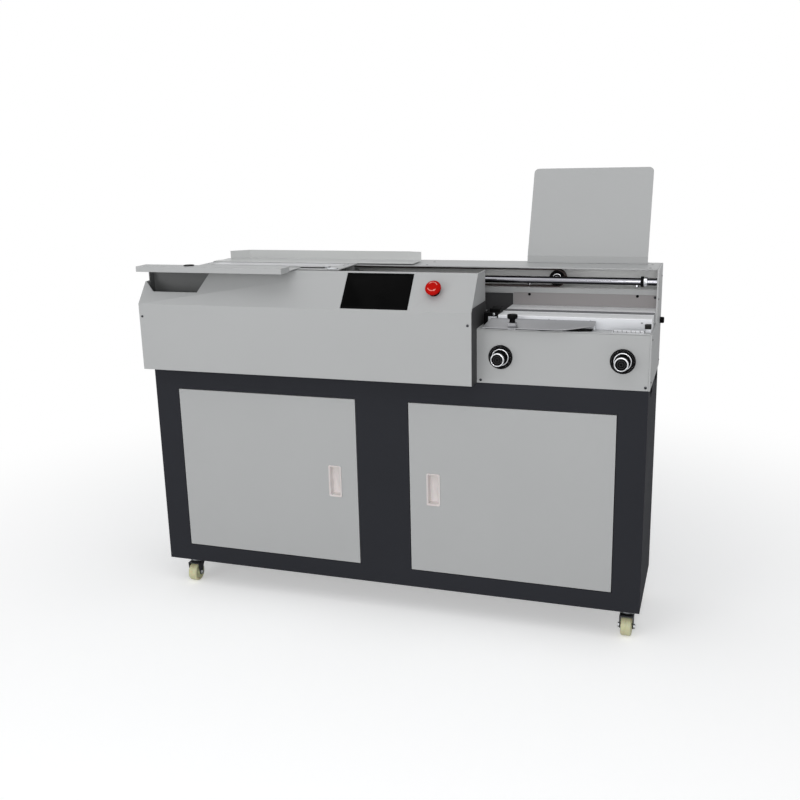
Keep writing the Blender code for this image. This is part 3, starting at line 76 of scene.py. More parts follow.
# %% Camera at the photograph's place
camera_data = bpy.data.cameras.new("photograph_view")
camera_data.lens = 43.476
camera_data.sensor_width = 36.0
camera_data.clip_start = 0.05
camera = bpy.data.objects.new("photograph_view", camera_data)
camera.location = place(1.44568, -2.21269, 1.10539)
camera.rotation_euler = [math.radians(turn) for turn in (75.5315, 1.3282, 18.3104)]
into_scene = bpy.context.scene.collection.objects.link
into_scene(camera)
bpy.context.scene.camera = camera
print("camera at", tuple(round(value, 3) for value in camera.location))

# %% [markdown]
# ## Colours and material nodes
# A listed colour is an sRGB value, but Blender's shaders work in linear light, so one function
# turns a hex value to linear. A material is a small network of nodes. Building one by hand takes many
# clicks, and in code it takes one helper: it adds a node, sets what is given, and links what is a socket.
# Most finishes end alike, with a mixed colour, a gloss and a bump, so one more helper joins those three.


# %% Helpers for colours and nodes
def linear(hex_colour):
    """sRGB hex to linear RGBA: below 0.04045 divide by 12.92, above it use the 2.4 power law."""
    value = np.array([int(hex_colour[i:i + 2], 16) for i in (1, 3, 5)]) / 255
    bent = np.where(value <= 0.04045, value / 12.92, ((value + 0.055) / 1.055) ** 2.4)
    return (*bent.tolist(), 1.0)


def fill(tree, node, inputs):
    """Sets a node's inputs: a socket of another node is linked, and anything else is its value."""
    for key, value in inputs.items():
        if isinstance(value, bpy.types.NodeSocket):
            tree.links.new(value, node.inputs[key])
        else:
            node.inputs[key].default_value = value


def add_node(tree, kind, inputs=None, **settings):
    """Adds one shader node with its inputs; settings are its own options."""
    made = tree.nodes.new("ShaderNode" + kind)
    for name, value in settings.items():
        setattr(made, name, value)
    fill(tree, made, inputs or {})
    return made


def new_material(name):
    """An empty material with its output; returns the material, its node tree and the shader."""
    made = bpy.data.materials.new(name)
    made.use_nodes = True
    return made, made.node_tree, made.node_tree.nodes["Principled BSDF"]


def object_place(tree, scale=(1.0, 1.0, 1.0)):
    """Object coordinates in metres, stretched by a scale along each axis."""
    where = add_node(tree, "TexCoord").outputs["Object"]
    return add_node(tree, "Mapping", {"Vector": where, "Scale": scale}).outputs["Vector"]


def dress(tree, shader, tone, gloss, relief, constants):
    """Joins three layers to a shader and sets its constants. Tone is (factor, colour, shade), gloss is
    (factor, lowest factor, highest factor, roughness at both), relief is (height, strength, distance)."""
    mixed = add_node(tree, "Mix", dict(zip((0, 6, 7), tone)), data_type='RGBA')
    ranges = dict(zip(("Value", "From Min", "From Max", "To Min", "To Max"), gloss))
    rough = add_node(tree, "MapRange", ranges)
    bump = add_node(tree, "Bump", dict(zip(("Height", "Strength", "Distance"), relief)))
    fill(tree, shader, {"Base Color": mixed.outputs[2], "Roughness": rough.outputs["Result"],
                        "Normal": bump.outputs["Normal"], **constants})


print("mid grey in linear light:", [round(value, 3) for value in linear("#808080")])

# %% [markdown]
# ## Powder coat
# Sheet steel is sprayed with dry powder and baked at about 200 degrees. The powder melts into a skin of
# about 0.08 mm that never lies quite flat: it keeps a fine orange peel, with waves of one to two
# millimetres, and its gloss varies a little from place to place. A flat grey with a fixed gloss would
# look like card. Here a fine noise bends the normals, and a slow noise shifts gloss and colour.


# %% Powder coat on sheet steel
def powder_coat(name, colour, shade, roughness, mirror=0.4):
    """Two colours mixed by slow cloudy noise, gloss that drifts with it, and orange peel as bump.
    Mirror is how strongly the skin reflects; 0.5 is a plain clear skin, and matted powders have less."""
    peel_size, peel_height, drift = 1.6 * millimetre, 0.018 * millimetre, 0.03
    made, tree, shader = new_material("powder_coat_" + name)
    where = object_place(tree)
    clouds = add_node(tree, "TexNoise", {
        "Vector": where, "Scale": 3.5, "Detail": 3.0, "Roughness": 0.55}).outputs["Fac"]
    peel = add_node(tree, "TexNoise", {"Vector": where, "Scale": 1 / peel_size, "Detail": 2.0})
    dress(tree, shader, (clouds, linear(colour), linear(shade)),
          (clouds, 0.3, 0.7, roughness - drift, roughness + drift),
          (peel.outputs["Fac"], 0.6, peel_height), {"Specular IOR Level": mirror})
    return made


grey_coat = powder_coat("light_grey", "#B3B4B4", "#B8B9B9", 0.42)
beam_coat = powder_coat("pale_grey", "#C9CAC9", "#D0D1D0", 0.38)
dark_coat = powder_coat("graphite", "#2D2E32", "#323338", 0.66, mirror=0.06)
plate_coat = powder_coat("mid_grey", "#656666", "#6D6E6E", 0.40, mirror=0.2)
# A darker grey that paints the shade on the wall under the ledge.
shade_painted_sheet_coat = powder_coat("painted_shade_grey", "#979393", "#9D9999", 0.50, mirror=0.3)
# A near-white coat that paints light on the back of the channel.
light_painted_liner_coat = powder_coat("pale_white_painted_light", "#F1F1F0", "#F6F6F5", 0.40)
window_coat = powder_coat("slate", "#3A3A3B", "#434344", 0.50, mirror=0.2)
print("first coat:", grey_coat.name)

# %% [markdown]
# ## Plastics, nylon and rubber
# Moulded ABS copies the steel mould's spark texture, a grain of a few tenths of a millimetre. It is too
# fine to show from here, so it is drawn a little coarser. Cast nylon is slightly milky, because light
# goes a millimetre into it. The belt is polyurethane with a dark woven back.


# %% Moulded plastics, nylon and rubber
def moulded(name, colour, roughness, grain=0.7, height=0.02, milky=0.0, mirror=0.5):
    """One colour with a faint drift, mould grain as bump, and light that enters the skin where it is milky.
    Grain and height are in millimetres."""
    made, tree, shader = new_material(name)
    where = object_place(tree)
    drifting = add_node(tree, "TexNoise", {"Vector": where, "Scale": 30.0, "Detail": 2.0})
    drift = drifting.outputs["Fac"]
    base = linear(colour)
    lighter = (*[min(1.0, value * 1.12 + 0.002) for value in base[:3]], 1.0)
    skin = add_node(tree, "TexNoise", {
        "Vector": where, "Scale": 1 / (grain * millimetre), "Detail": 1.0})
    dress(tree, shader, (drift, base, lighter), (drift, 0.0, 1.0, roughness - 0.04, roughness + 0.04),
          (skin.outputs["Fac"], 0.5, height * millimetre), {
              "IOR": 1.5, "Specular IOR Level": mirror, "Subsurface Weight": milky,
              "Subsurface Scale": 2 * millimetre})
    return made


black_rubber = moulded("rubber_black", "#121212", 0.65, mirror=0.2)
black_abs = moulded("abs_black", "#070708", 0.42, mirror=0.05)
screen_glass = moulded("touch_screen_dark_glass", "#030303", 0.16, grain=3.0, height=0.001, mirror=0.02)
white_abs = moulded("abs_white", "#E4E3DE", 0.30)
red_abs = moulded("abs_signal_red", "#B8120B", 0.30, mirror=0.02)
cast_nylon = moulded("cast_nylon", "#CFCDA6", 0.40, milky=0.15)
belt_back = moulded("belt_polyurethane", "#3A2624", 0.60, grain=1.2, height=0.1)
print("first plastic:", black_rubber.name)

# %% [markdown]
# ## Bare metals
# An extruded aluminium bar has fine lines along its length, drawn by the die. Ground stainless sheet has
# short scratches in one direction. Both come from one idea: noise stretched along the grain, hundreds of
# times longer than it is wide, which changes gloss and tilts the surface across the grain.


# %% Brushed and drawn metals
along_machine = (0.01, 1.0, 1.0)


def grained_metal(name, colour, shade, roughness, stretch=along_machine, height=0.01, film=0.0):
    """Metal whose grain is noise stretched along one axis; stretch holds a small number on that axis.
    Film is the share of light that an anodised skin scatters first, and height is in millimetres."""
    line_width = 0.6 * millimetre
    made, tree, shader = new_material(name)
    stretched = object_place(tree, stretch)
    lines = add_node(tree, "TexNoise", {
        "Vector": stretched, "Scale": 1 / line_width, "Detail": 4.0, "Roughness": 0.6}).outputs["Fac"]
    unstretched = object_place(tree)
    patches = add_node(tree, "TexNoise", {"Vector": unstretched, "Scale": 6.0, "Detail": 2.0})
    blend = add_node(tree, "Math", {0: lines, 1: patches.outputs["Fac"]}, operation='ADD')
    dress(tree, shader, (lines, linear(colour), linear(shade)),
          (blend.outputs["Value"], 0.6, 1.4, roughness - 0.06, roughness + 0.08),
          (lines, 0.5, height * millimetre), {"Metallic": 1.0 - film})
    return made


drawn_aluminium = grained_metal("aluminium_drawn", "#E2E4E8", "#D2D4DA", 0.46)
anodised_bar = grained_metal("aluminium_anodised", "#DADBDE", "#CDCFD3", 0.50, film=0.6)
# A darker grey that paints the shade of the gap between the pressing bars.
shade_painted_grey = grained_metal("aluminium_painted_shade_strip", "#77787B", "#6D6E71", 0.50, film=0.5)
# A near-white that paints the highlight on the pressing bars' tops.
highlight_painted_bar = grained_metal("aluminium_painted_highlight", "#FCFCFD", "#F4F5F7", 0.42, film=0.75)
ground_steel = grained_metal("stainless_ground", "#A2A2A4", "#8E8F92", 0.34, (1.0, 0.02, 1.0))
clamp_steel = grained_metal("steel_sheet_satin", "#C6C7C9", "#B5B6B9", 0.36)
polished_steel = grained_metal("steel_chromed", "#DADBDE", "#CFD0D4", 0.10, height=0.001)
shaft_steel = grained_metal("steel_ground_shaft", "#A3A3A8", "#98989D", 0.17, height=0.002)
dark_zinc = grained_metal("steel_zinc_dark", "#6E6F72", "#5A5B5E", 0.42, (1.0, 1.0, 0.2))
print("materials so far:", len(bpy.data.materials))

# %% [markdown]
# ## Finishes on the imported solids
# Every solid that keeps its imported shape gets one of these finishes. Its mesh is loose triangles with knife
# edges. Real folded sheet has a small radius at each bend, which catches a thin line of light. Modifiers
# give that without touching the mesh: Weld joins the triangles, Decimate clears the flat ones away, and
# Bevel rounds what is left.


# %% Give each solid its finish and soft edges
def round_edges(shape, radius):
    """A Bevel on every edge sharper than 35 degrees; its radius is in millimetres."""
    edge = shape.modifiers.new("round_edges", 'BEVEL')
    edge.width = radius * millimetre
    edge.segments = 3
    edge.limit_method = 'ANGLE'
    edge.angle_limit = math.radians(35.0)
    edge.harden_normals = True


def soften(shape, radius):
    """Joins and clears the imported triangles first, then rounds the edges that are left."""
    weld = shape.modifiers.new("join_triangles", 'WELD')
    weld.merge_threshold = 0.01 * millimetre
    flat = shape.modifiers.new("clear_flats", 'DECIMATE')
    flat.decimate_type = 'DISSOLVE'
    flat.angle_limit = math.radians(1.0)
    round_edges(shape, radius)


castors = ["front_left", "front_right", "rear_left", "rear_right"]
finishes = {
    grey_coat: ["front_cover", "left_door", "right_door", "front_tray", "station_front_panel",
                "right_end_plate", "paper_support", "rear_beam", "station_table", "carriage_frame"],
    beam_coat: ["rear_tray", "control_box"],
    dark_coat: ["cabinet_frame", "cabinet_back_panel", "rear_panel"],
    plate_coat: ["left_end_plate"],
    window_coat: ["inner_end_plate"],
    black_abs: ["power_inlet", "stop_button_ring", "stop_button_stem", "shaft_collar", "carriage_motor",
                "cutter_motor", "tray_knob", "side_guide_knob", "left_dial_knob", "right_dial_knob",
                "left_dial_ring", "right_dial_ring", "side_knob"],
    screen_glass: ["touch_screen"],
    red_abs: ["stop_button_head"],
    white_abs: ["left_door_handle", "right_door_handle"],
    cast_nylon: [f"{castor}_castor_wheel" for castor in castors],
    dark_zinc: ["left_door_pivot", "right_door_pivot"]
    + [f"{castor}_castor_{part}" for part in ("plate", "fork") for castor in castors],
    drawn_aluminium: ["front_nip_bar", "rear_nip_bar", "glue_tank", "idler_pulley", "drive_pulley"],
    ground_steel: ["side_guide", "milling_cutter", "left_glue_roller", "right_glue_roller"],
    clamp_steel: ["rear_jaw"],
    shaft_steel: ["guide_shaft"],
    belt_back: ["drive_belt"],
}
for finish, names in finishes.items():
    for name in names:
        nodes[name].data.materials.clear()
        nodes[name].data.materials.append(finish)
finished = [name for names in finishes.values() for name in names]
print("solids with a finish:", len(finished), "left over:", sorted(set(nodes) - set(finished)))

edges = {
    0.4: ["side_guide"],
    0.5: ["carriage_frame", "rear_jaw", "rear_panel"],
    0.6: ["front_tray", "rear_tray", "station_front_panel"],
    0.7: ["paper_support"],
    0.8: ["inner_end_plate", "left_end_plate", "station_table"],
    1.0: ["cabinet_frame", "control_box", "glue_tank", "left_door", "right_door", "right_end_plate"],
    1.2: ["front_cover", "front_nip_bar", "rear_beam", "rear_nip_bar"],
    2.0: ["carriage_motor", "cutter_motor"],
}
for radius, names in edges.items():
    for name in names:
        soften(nodes[name], radius)
print("solids with soft edges:", sum(len(names) for names in edges.values()))

# %% [markdown]
# ## Tools for small parts
# Knobs, wheels and screws are turned on a lathe, and plates and cups are pressed or moulded with round
# corners. Both can be written as one idea: a closed ring of points, carried through a list of rows. On a
# lathe the ring is a circle whose radius comes from a profile. On a pressed part it is a rounded
# rectangle that shrinks from row to row, and on a slab it is any outline. The first and last rows are
# closed with a lid.


# %% Rings carried through rows
front_face = ((1, 0, 0), (0, 0, 1))
top_face = ((1, 0, 0), (0, 1, 0))
right_face = ((0, 1, 0), (0, 0, 1))
left_face = ((0, -1, 0), (0, 0, 1))
back_face = ((-1, 0, 0), (0, 0, 1))
home = (0, 0, 0)


def grid(*columns):
    """Stacks coordinates of matching shapes into one array of points."""
    return np.stack(np.broadcast_arrays(*columns), axis=-1)


def placed(local, origin, sides):
    """Local millimetres to the model: origin + across * side + up * rise + out * (side x rise)."""
    side, rise = (np.array(direction, float) for direction in sides)
    axes = np.stack([side, rise, np.cross(side, rise)])
    return local * millimetre @ axes + place(*origin)


def shell(points, finish, loop=False):
    """Quads between neighbouring rows of a grid whose columns close on themselves, with a lid at both ends.
    With loop the last row joins the first one instead, as on a hoop."""
    rows, columns = points.shape[:2]
    index = np.arange(rows * columns).reshape(rows, columns)
    if loop:
        index = np.vstack([index, index[:1]])
    after = np.roll(index, -1, axis=1)
    quads = np.stack([index[:-1], after[:-1], after[1:], index[1:]], axis=-1).reshape(-1, 4).tolist()
    return points.reshape(-1, 3), quads + ([] if loop else [index[0].tolist(), index[-1].tolist()]), finish


def eased(points, radius, steps=5, closed=False):
    """Rounds corners: a quadratic curve from a little before each corner to a little after it, at most 45 %
    of the way to the next one. An open profile keeps its two ends."""
    points = np.array(points, float)
    back, ahead = (np.roll(points, turn, axis=0) - points for turn in (1, -1))
    back *= np.minimum(radius / np.linalg.norm(back, axis=1), 0.45)[:, None]
    ahead *= np.minimum(radius / np.linalg.norm(ahead, axis=1), 0.45)[:, None]
    share = np.linspace(0, 1, steps)[None, :, None]
    bends = points[:, None] + (1 - share) ** 2 * back[:, None] + share ** 2 * ahead[:, None]
    if closed:
        return bends.reshape(-1, 2)
    return np.vstack([points[:1], bends[1:-1].reshape(-1, 2), points[-1:]])


def rectangle(left, low, right, high, radius=0.0, steps=5):
    """Four corners from the lower left one, rounded where a radius is given."""
    corners = [(left, low), (right, low), (right, high), (left, high)]
    return eased(corners, radius, steps, closed=True) if radius else corners


def turned(profile, ease, origin, sides, finish, columns=64, steps=5, waves=0, depth=0.0, waved=(0.0, 1.0),
           loop=False):
    """Radius and height from an eased profile, carried round an axis by angle t: (r cos t, r sin t, h).
    Waves add r * depth * cos(waves * t) on the heights in waved, for flutes, knurls and lobes."""
    profile = eased(profile, ease, steps) if ease else np.array(profile, float)
    radius, height = profile.T[:, :, None]
    angle = np.arange(columns)[None, :] * 2 * math.pi / columns
    inside = (height > waved[0]) & (height < waved[1])
    radius = radius * (1 + depth * (np.cos(waves * angle) - 1) * inside)
    local = grid(radius * np.cos(angle), radius * np.sin(angle), height)
    return shell(placed(local, origin, sides), finish, loop)


def turned_set(rows, origin, sides):
    """Turned shells on one axis, from rows of profile, ease, finish, columns and further options."""
    return [turned(profile, ease, origin, sides, finish, columns, **options)
            for profile, ease, finish, columns, options in rows]


def pressed(width, height, round_by, rows, origin, sides, finish, steps=6):
    """A rounded rectangle through rows of (inset, level): its corner centres stay and its radius shrinks."""
    inset, level = np.array(rows, float).T[:, :, None]
    angle = (np.arange(4)[:, None] * 0.5 + np.linspace(0, 0.5, steps)[None, :]).reshape(1, -1) * math.pi
    turn = np.repeat(np.arange(4), steps)[None, :]
    across = np.where((turn == 0) | (turn == 3), 1, -1) * (width / 2 - np.maximum(round_by, inset))
    up = np.where(turn < 2, 1, -1) * (height / 2 - np.maximum(round_by, inset))
    bend = np.maximum(round_by - inset, 0.0)
    local = grid(across + bend * np.cos(angle), up + bend * np.sin(angle), level)
    return shell(placed(local, origin, sides), finish)


def slab(outline, levels, origin, sides, finish):
    """A closed outline (across, up) carried along out, one row for each level."""
    across, up = np.array(outline, float).T[:, None, :]
    return shell(placed(grid(across, up, np.array(levels, float)[:, None]), origin, sides), finish)


def hexagon(radius, low, high, origin, sides, finish):
    """A bolt head or nut: a turned profile with six columns and a small chamfer on its outer end."""
    chamfer = min(0.6, (high - low) * 0.3)
    profile = [(0.1, low), (radius, low), (radius, high - chamfer), (radius - chamfer, high), (0.1, high)]
    return turned(profile, 0, origin, sides, finish, columns=6)


def block(x, y, z, finish, round_by=1.2):
    """An upright block with round corners: its X-Y outline carried up from z[0] to z[1]."""
    return slab(rectangle(x[0], y[0], x[1], y[1], round_by, 4), z, home, top_face, finish)


def build(name, body, shells, replaces=(), bevel=0.0):
    """Joins closed shells into one mesh, turns their faces outwards and lets it ride on a body."""
    used = list(dict.fromkeys(finish for _, _, finish in shells))
    starts = np.cumsum([0] + [len(points) for points, _, _ in shells])
    faces = [[start + spot for spot in face]
             for start, (_, shape, _) in zip(starts, shells) for face in shape]
    slots = [used.index(finish) for _, shape, finish in shells for _ in shape]
    mesh = bpy.data.meshes.new(name)
    mesh.from_pydata(np.vstack([points for points, _, _ in shells]).tolist(), [], faces)
    for finish in used:
        mesh.materials.append(finish)
    mesh.polygons.foreach_set("material_index", slots)
    work = bmesh.new()
    work.from_mesh(mesh)
    bmesh.ops.recalc_face_normals(work, faces=work.faces)
    work.to_mesh(mesh)
    work.free()
    mesh.shade_smooth()
    mesh.set_sharp_from_angle(angle=math.radians(40.0))
    made = bpy.data.objects.new(name, mesh)
    into_scene(made)
    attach(made, body)
    if replaces:
        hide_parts(*replaces)
    if bevel:
        round_edges(made, bevel)
    print(f"{name}: {len(mesh.polygons)} faces on {body}")


# %% [markdown]
# ## Emergency stop
# The mushroom head is moulded in glossy red ABS, with two printed arrows that show which way to twist it
# free. Its dome is a quarter of an ellipse, so one formula gives the height at every radius, and the arrows
# use the same formula to lie on it.

# %% Red mushroom head with its arrows
slope_low = np.array([0.0, -0.0450, 0.7335])
slope_high = np.array([0.0, 0.0227, 0.8187])
slope_rise = (slope_high - slope_low) / np.linalg.norm(slope_high - slope_low)
slope_face = ((1, 0, 0), slope_rise)


def on_slope(x, climb):
    """A place on the cover's slope, climb metres up from its lower edge."""
    return slope_low + slope_rise * climb + np.array([x, 0, 0])


stop_place = on_slope(0.795, 0.0583)
head_radius, dome_low, dome_height = 19.4, 15.5, 8.6


def dome(radius):
    """Height of the ellipse at a radius: dome_low + dome_height * sqrt(1 - (r / R)^2)."""
    return dome_low + dome_height * np.sqrt(np.maximum(0.0, 1 - (radius / head_radius) ** 2))


def arrow_on_dome(start):
    """A strip carried by angle over the dome, 0.15 mm proud; it widens to a head and tapers to a tip."""
    share = np.linspace(0, 1, 24)[:, None]
    angle = start + share * math.radians(125.0)
    half = np.where(share < 0.7, 0.9, 2.4 * (1 - share) / 0.3 + 0.05)
    reach = 11.6 + half * np.array([-1, 1, 1, -1])[None, :]
    lift = np.array([0.15, 0.15, -0.4, -0.4])[None, :]
    local = grid(reach * np.cos(angle), reach * np.sin(angle), dome(reach) + lift)
    return shell(placed(local, stop_place, slope_face), arrow_print)


arrow_print = moulded("arrow_print_pale_pink", "#E08A80", 0.4, mirror=0.2)
head_side = eased([(0.1, 10.4), (12.0, 10.4), (17.8, 11.2), (19.3, 13.4), (19.4, 15.5)], 0.8)
dome_radius = head_radius * np.cos(np.linspace(0.12, 1.565, 14))
head_profile = np.vstack([head_side, np.stack([dome_radius, dome(dome_radius)], axis=1)])
head = turned(head_profile, 0, stop_place, slope_face, red_abs, 72)
build("stop_button_mushroom", "stop_head", [head, arrow_on_dome(0.4), arrow_on_dome(3.54)],
      ["stop_button_head"])

# %% [markdown]
# ## Dials
# Each dial is a black printed scale plate that stays on the panel and a knob that turns over it. The knob
# has a bright aluminium rim, a fluted black grip, and a bright bezel round a black cap with turned grooves,
# with a grey ring in two of them. The scale's ticks are one small bar, copied round the plate as a single
# array.


# %% Scale plates and knobs
def ring_of_bars(count, inner, width, origin):
    """One bar, copied to count angles over the scale's sweep: its corners times a rotation for each angle."""
    sweep, outer, low, high = math.radians(300), 26.8, 1.85, 1.97
    bar = np.array([(x, y, z) for z in (low, high) for x, y in rectangle(inner, -width, outer, width)])
    angle = math.pi / 2 + np.linspace(-sweep / 2, sweep / 2, count)
    cosine, sine = np.cos(angle)[:, None], np.sin(angle)[:, None]
    local = grid(bar[:, 0] * cosine - bar[:, 1] * sine, bar[:, 0] * sine + bar[:, 1] * cosine, bar[:, 2])
    bar_faces = np.array([(0, 1, 2, 3), (4, 5, 6, 7), (0, 1, 5, 4), (1, 2, 6, 5), (2, 3, 7, 6), (3, 0, 4, 7)])
    faces = (bar_faces[None] + 8 * np.arange(count)[:, None, None]).reshape(-1, 4)
    return placed(local.reshape(-1, 3), origin, front_face), faces.tolist(), print_grey


satin_ring = grained_metal("aluminium_turned_bright", "#F0F1F3", "#DDDEE2", 0.22, (1.0, 1.0, 1.0))
print_grey = moulded("print_grey", "#8A8A8A", 0.5)
groove_grey = moulded("abs_grey_groove_ring", "#3E3E3F", 0.5, mirror=0.1)
hoop = {"loop": True}
knob_rows = [
    (rectangle(0.1, 2.4, 18.6, 5.8), 0.5, black_abs, 96, {}),
    ([(18.7, 2.4), (20.7, 2.4), (20.7, 5.2), (19.7, 6.2), (18.7, 6.2)], 0.4, satin_ring, 96, hoop),
    ([(0.1, 6.0), (15.6, 6.0), (14.6, 12.0), (15.4, 33.5), (0.1, 33.5)], 0.8, black_abs, 144,
     {"steps": 8, "waves": 24, "depth": 0.03, "waved": (7.0, 31.0)}),
    ([(12.8, 31.5), (16.0, 31.5), (16.6, 33.0), (16.6, 36.2), (15.4, 38.0), (13.6, 38.0), (13.2, 35.4),
      (12.9, 32.0)], 0.5, satin_ring, 96, hoop),
    ([(0.1, 33.0), (13.0, 33.0), (13.0, 36.6), (10.2, 36.9), (9.7, 35.6), (8.3, 35.6), (7.8, 36.9),
      (5.6, 37.1), (5.1, 35.8), (3.7, 35.8), (3.2, 37.1), (0.1, 37.1)], 0.25, black_abs, 96, {}),
]
knob_rows += [(rectangle(inner, 35.0, inner + 1.1, 36.6), 0.2, groove_grey, 64, hoop) for inner in (3.8, 8.4)]
for side, spot in {"left": (0.954, -0.0003, 0.6238), "right": (1.2396, -0.0003, 0.6260)}.items():
    plate = turned(rectangle(0.1, 0, 29.2, 1.9), 0.4, spot, front_face, black_abs, 96)
    ticks = [ring_of_bars(41, 25.4, 0.14, spot), ring_of_bars(11, 23.8, 0.2, spot)]
    build(f"{side}_dial_scale", "machine", [plate, *ticks], [f"{side}_dial_ring"])
    build(f"{side}_dial_grip", f"{side}_dial", turned_set(knob_rows, spot, front_face), [f"{side}_dial_knob"])

# %% [markdown]
# ## Castors
# A 50 mm swivel castor is a pressed zinc-plated fork under a ball race, with a cast nylon wheel on a bolt.
# The fork's two cheeks are flat outlines with a round foot, given a thickness; the race and the wheel are
# turned; a bolt head is the same turned profile with only six columns, which makes a hexagon of it.

# %% Four castors
bright_zinc = grained_metal("steel_zinc_bright", "#B9BBBE", "#A6A8AB", 0.34, (1.0, 1.0, 0.3))
fork_zinc = grained_metal("steel_zinc_dull", "#57585B", "#454649", 0.45, (1.0, 1.0, 0.3))
castor_places = zip(castors, ((0.059, 0.045), (1.268, 0.045), (0.059, 0.255), (1.268, 0.255)),
                    (-90.0, -90.0, -35.0, 160.0))
trail, drop, bolt_step = 14.0, -50.0, 23.5
foot_turn = np.radians(np.linspace(0, -180, 13))
foot = np.stack([trail + 7.8 * np.cos(foot_turn), drop + 7.8 * np.sin(foot_turn)], axis=1)
cheek = np.vstack([[(-10.5, -20.2), (26.5, -20.2), (24.6, -34.0)], foot, [(1.2, -34.0)]])
race_profile = [(0.1, -22.3), (11.0, -22.3), (20.5, -17.5), (21.8, -13.5), (21.8, -9.5), (19.8, -8.6),
                (19.8, -7.8), (21.2, -6.8), (21.2, -3.7), (0.1, -3.7)]
wheel_side = [(0.1, 14.3), (6.2, 14.3), (7.2, 13.6), (7.6, 10.8), (16.2, 10.4), (18.2, 12.6), (21.6, 13.0),
              (24.2, 11.4), (24.9, 8.0), (25.0, 1.4), (24.1, 0.6)]
wheel_profile = wheel_side + [(radius, -out) for radius, out in reversed(wheel_side)]
for name, (x, y), turn in castor_places:
    along = np.array([math.cos(math.radians(turn)), math.sin(math.radians(turn)), 0.0])
    axle = np.array([-along[1], along[0], 0.0])
    swivel = np.array([x, y, 0.0])
    hub = swivel + millimetre * (trail * along + np.array([0, 0, drop]))
    upright = (along, (0, 0, 1))
    race = turned(race_profile, 0.9, swivel, top_face, bright_zinc)
    roof = slab(rectangle(-10.8, -17.2, 26.8, 17.2, 3.0), [-22.4, -20.1], swivel, (along, axle), fork_zinc)
    cheeks = [slab(cheek, [start, start + 2.4], swivel, upright, fork_zinc) for start in (14.85, -17.25)]
    bolts = [hexagon(6.3, 17.2, 21.2, hub, (along, rise), bright_zinc) for rise in ((0, 0, 1), (0, 0, -1))]
    build(f"{name}_castor_frame", f"{name}_fork", [race, roof, *cheeks, *bolts], [f"{name}_castor_fork"], 0.4)
    wheel = turned(wheel_profile, 0.8, hub, upright, cast_nylon, 72, steps=4)
    build(f"{name}_castor_roller", f"{name}_wheel", [wheel], [f"{name}_castor_wheel"])
    heads = [hexagon(4.2, 0.0, 3.0, swivel + millimetre * np.array([step_x, step_y, -3.2]),
                     ((1, 0, 0), (0, -1, 0)), fork_zinc)
             for step_x in (-bolt_step, bolt_step) for step_y in (-bolt_step, bolt_step)]
    build(f"{name}_castor_bolts", "machine", heads)

# %% [markdown]
# ## Door handles
# Each door has a flush cup, a white ABS pressing with a flat rim that a finger hooks behind. It is one
# closed skin: up the outside of the cup, over the rim, and down the inside to its floor.

# %% Flush cups in the doors
handle_abs = moulded("abs_warm_white", "#D6CFCD", 0.34, milky=0.05)
cup_rows = [(4.6, -11.6), (4.4, 0.0), (0.3, 0.1), (0.0, 0.5), (0.0, 1.2), (0.5, 1.7), (3.6, 1.7), (4.4, 1.2),
            (4.9, 0.0), (5.6, -7.0), (7.0, -9.2), (10.0, -10.2)]
for side, x in (("left", 0.515), ("right", 0.782)):
    cup = pressed(35.9, 85.9, 5.0, cup_rows, (x, -0.0001, 0.273), front_face, handle_abs, 8)
    build(f"{side}_handle_cup", f"{side}_door", [cup], [f"{side}_door_handle"])

# %% [markdown]
# ## Guide shaft
# The carriage runs on a hard-chromed, ground steel shaft. A polished cylinder mirrors its surroundings as
# long stripes, light and dark in turn, whichever way one looks at it. Soft studio light is too even to
# give them, so three dark stripes of painted reflection run along the shaft: the angle round its axis goes
# through a cosine with three periods. A split collar with a clamp screw stops the carriage at the right.


# %% Shaft with its painted reflection stripes, and the stop collar
def painted_reflection_steel(name, colour, film, axis, turn):
    """Polished metal; a cosine of three times the angle round an X axis mixes clean metal with film, the dark
    colour of painted reflection stripes.
    """
    made, tree, shader = new_material(name)
    where = add_node(tree, "TexCoord").outputs["Object"]
    around = add_node(tree, "Mapping", {"Vector": where, "Location": (0.0, -axis[1], -axis[2])})
    axes = add_node(tree, "SeparateXYZ", {"Vector": around.outputs["Vector"]}).outputs
    angle = add_node(tree, "Math", {0: axes["Z"], 1: axes["Y"]}, operation='ARCTAN2').outputs[0]
    thrice = add_node(tree, "Math", {0: angle, 1: 3.0, 2: turn}, operation='MULTIPLY_ADD')
    wave = add_node(tree, "Math", {0: thrice.outputs[0]}, operation='COSINE').outputs[0]
    scratches = add_node(tree, "TexNoise", {
        "Vector": object_place(tree, along_machine), "Scale": 900.0}).outputs["Fac"]
    # Scratches added to the painted reflection stripes.
    scratches_and_painted_stripes = add_node(tree, "Math", {0: scratches, 1: 0.5, 2: wave}, operation='MULTIPLY_ADD')
    share = add_node(tree, "MapRange", {"Value": scratches_and_painted_stripes.outputs[0], "From Min": 0.1, "From Max": 0.9},
                     interpolation_type='SMOOTHSTEP')
    mixed = add_node(tree, "Mix", {0: share.outputs["Result"], 6: linear(film), 7: linear(colour)},
                     data_type='RGBA')
    gloss = add_node(tree, "MapRange", {"Value": scratches, "To Min": 0.12, "To Max": 0.24})
    fill(tree, shader, {
        "Base Color": mixed.outputs[2], "Roughness": gloss.outputs["Result"], "Metallic": 1.0})
    return made


shaft_y, shaft_z = 0.170, 0.787
shaft_finish = painted_reflection_steel("steel_ground_shaft_painted_reflection", "#9C9CA2", "#222226",
                             place(0, shaft_y, shaft_z).tolist(), math.radians(-156.0))
shaft_profile = [(0.1, 2.7), (8.0, 2.7), (8.7, 3.4), (8.7, 1301.6), (8.0, 1302.3), (0.1, 1302.3)]
shaft = turned(shaft_profile, 0.1, (0, shaft_y, shaft_z), right_face, shaft_finish, 96)
build("guide_shaft_rod", "machine", [shaft], ["guide_shaft"])

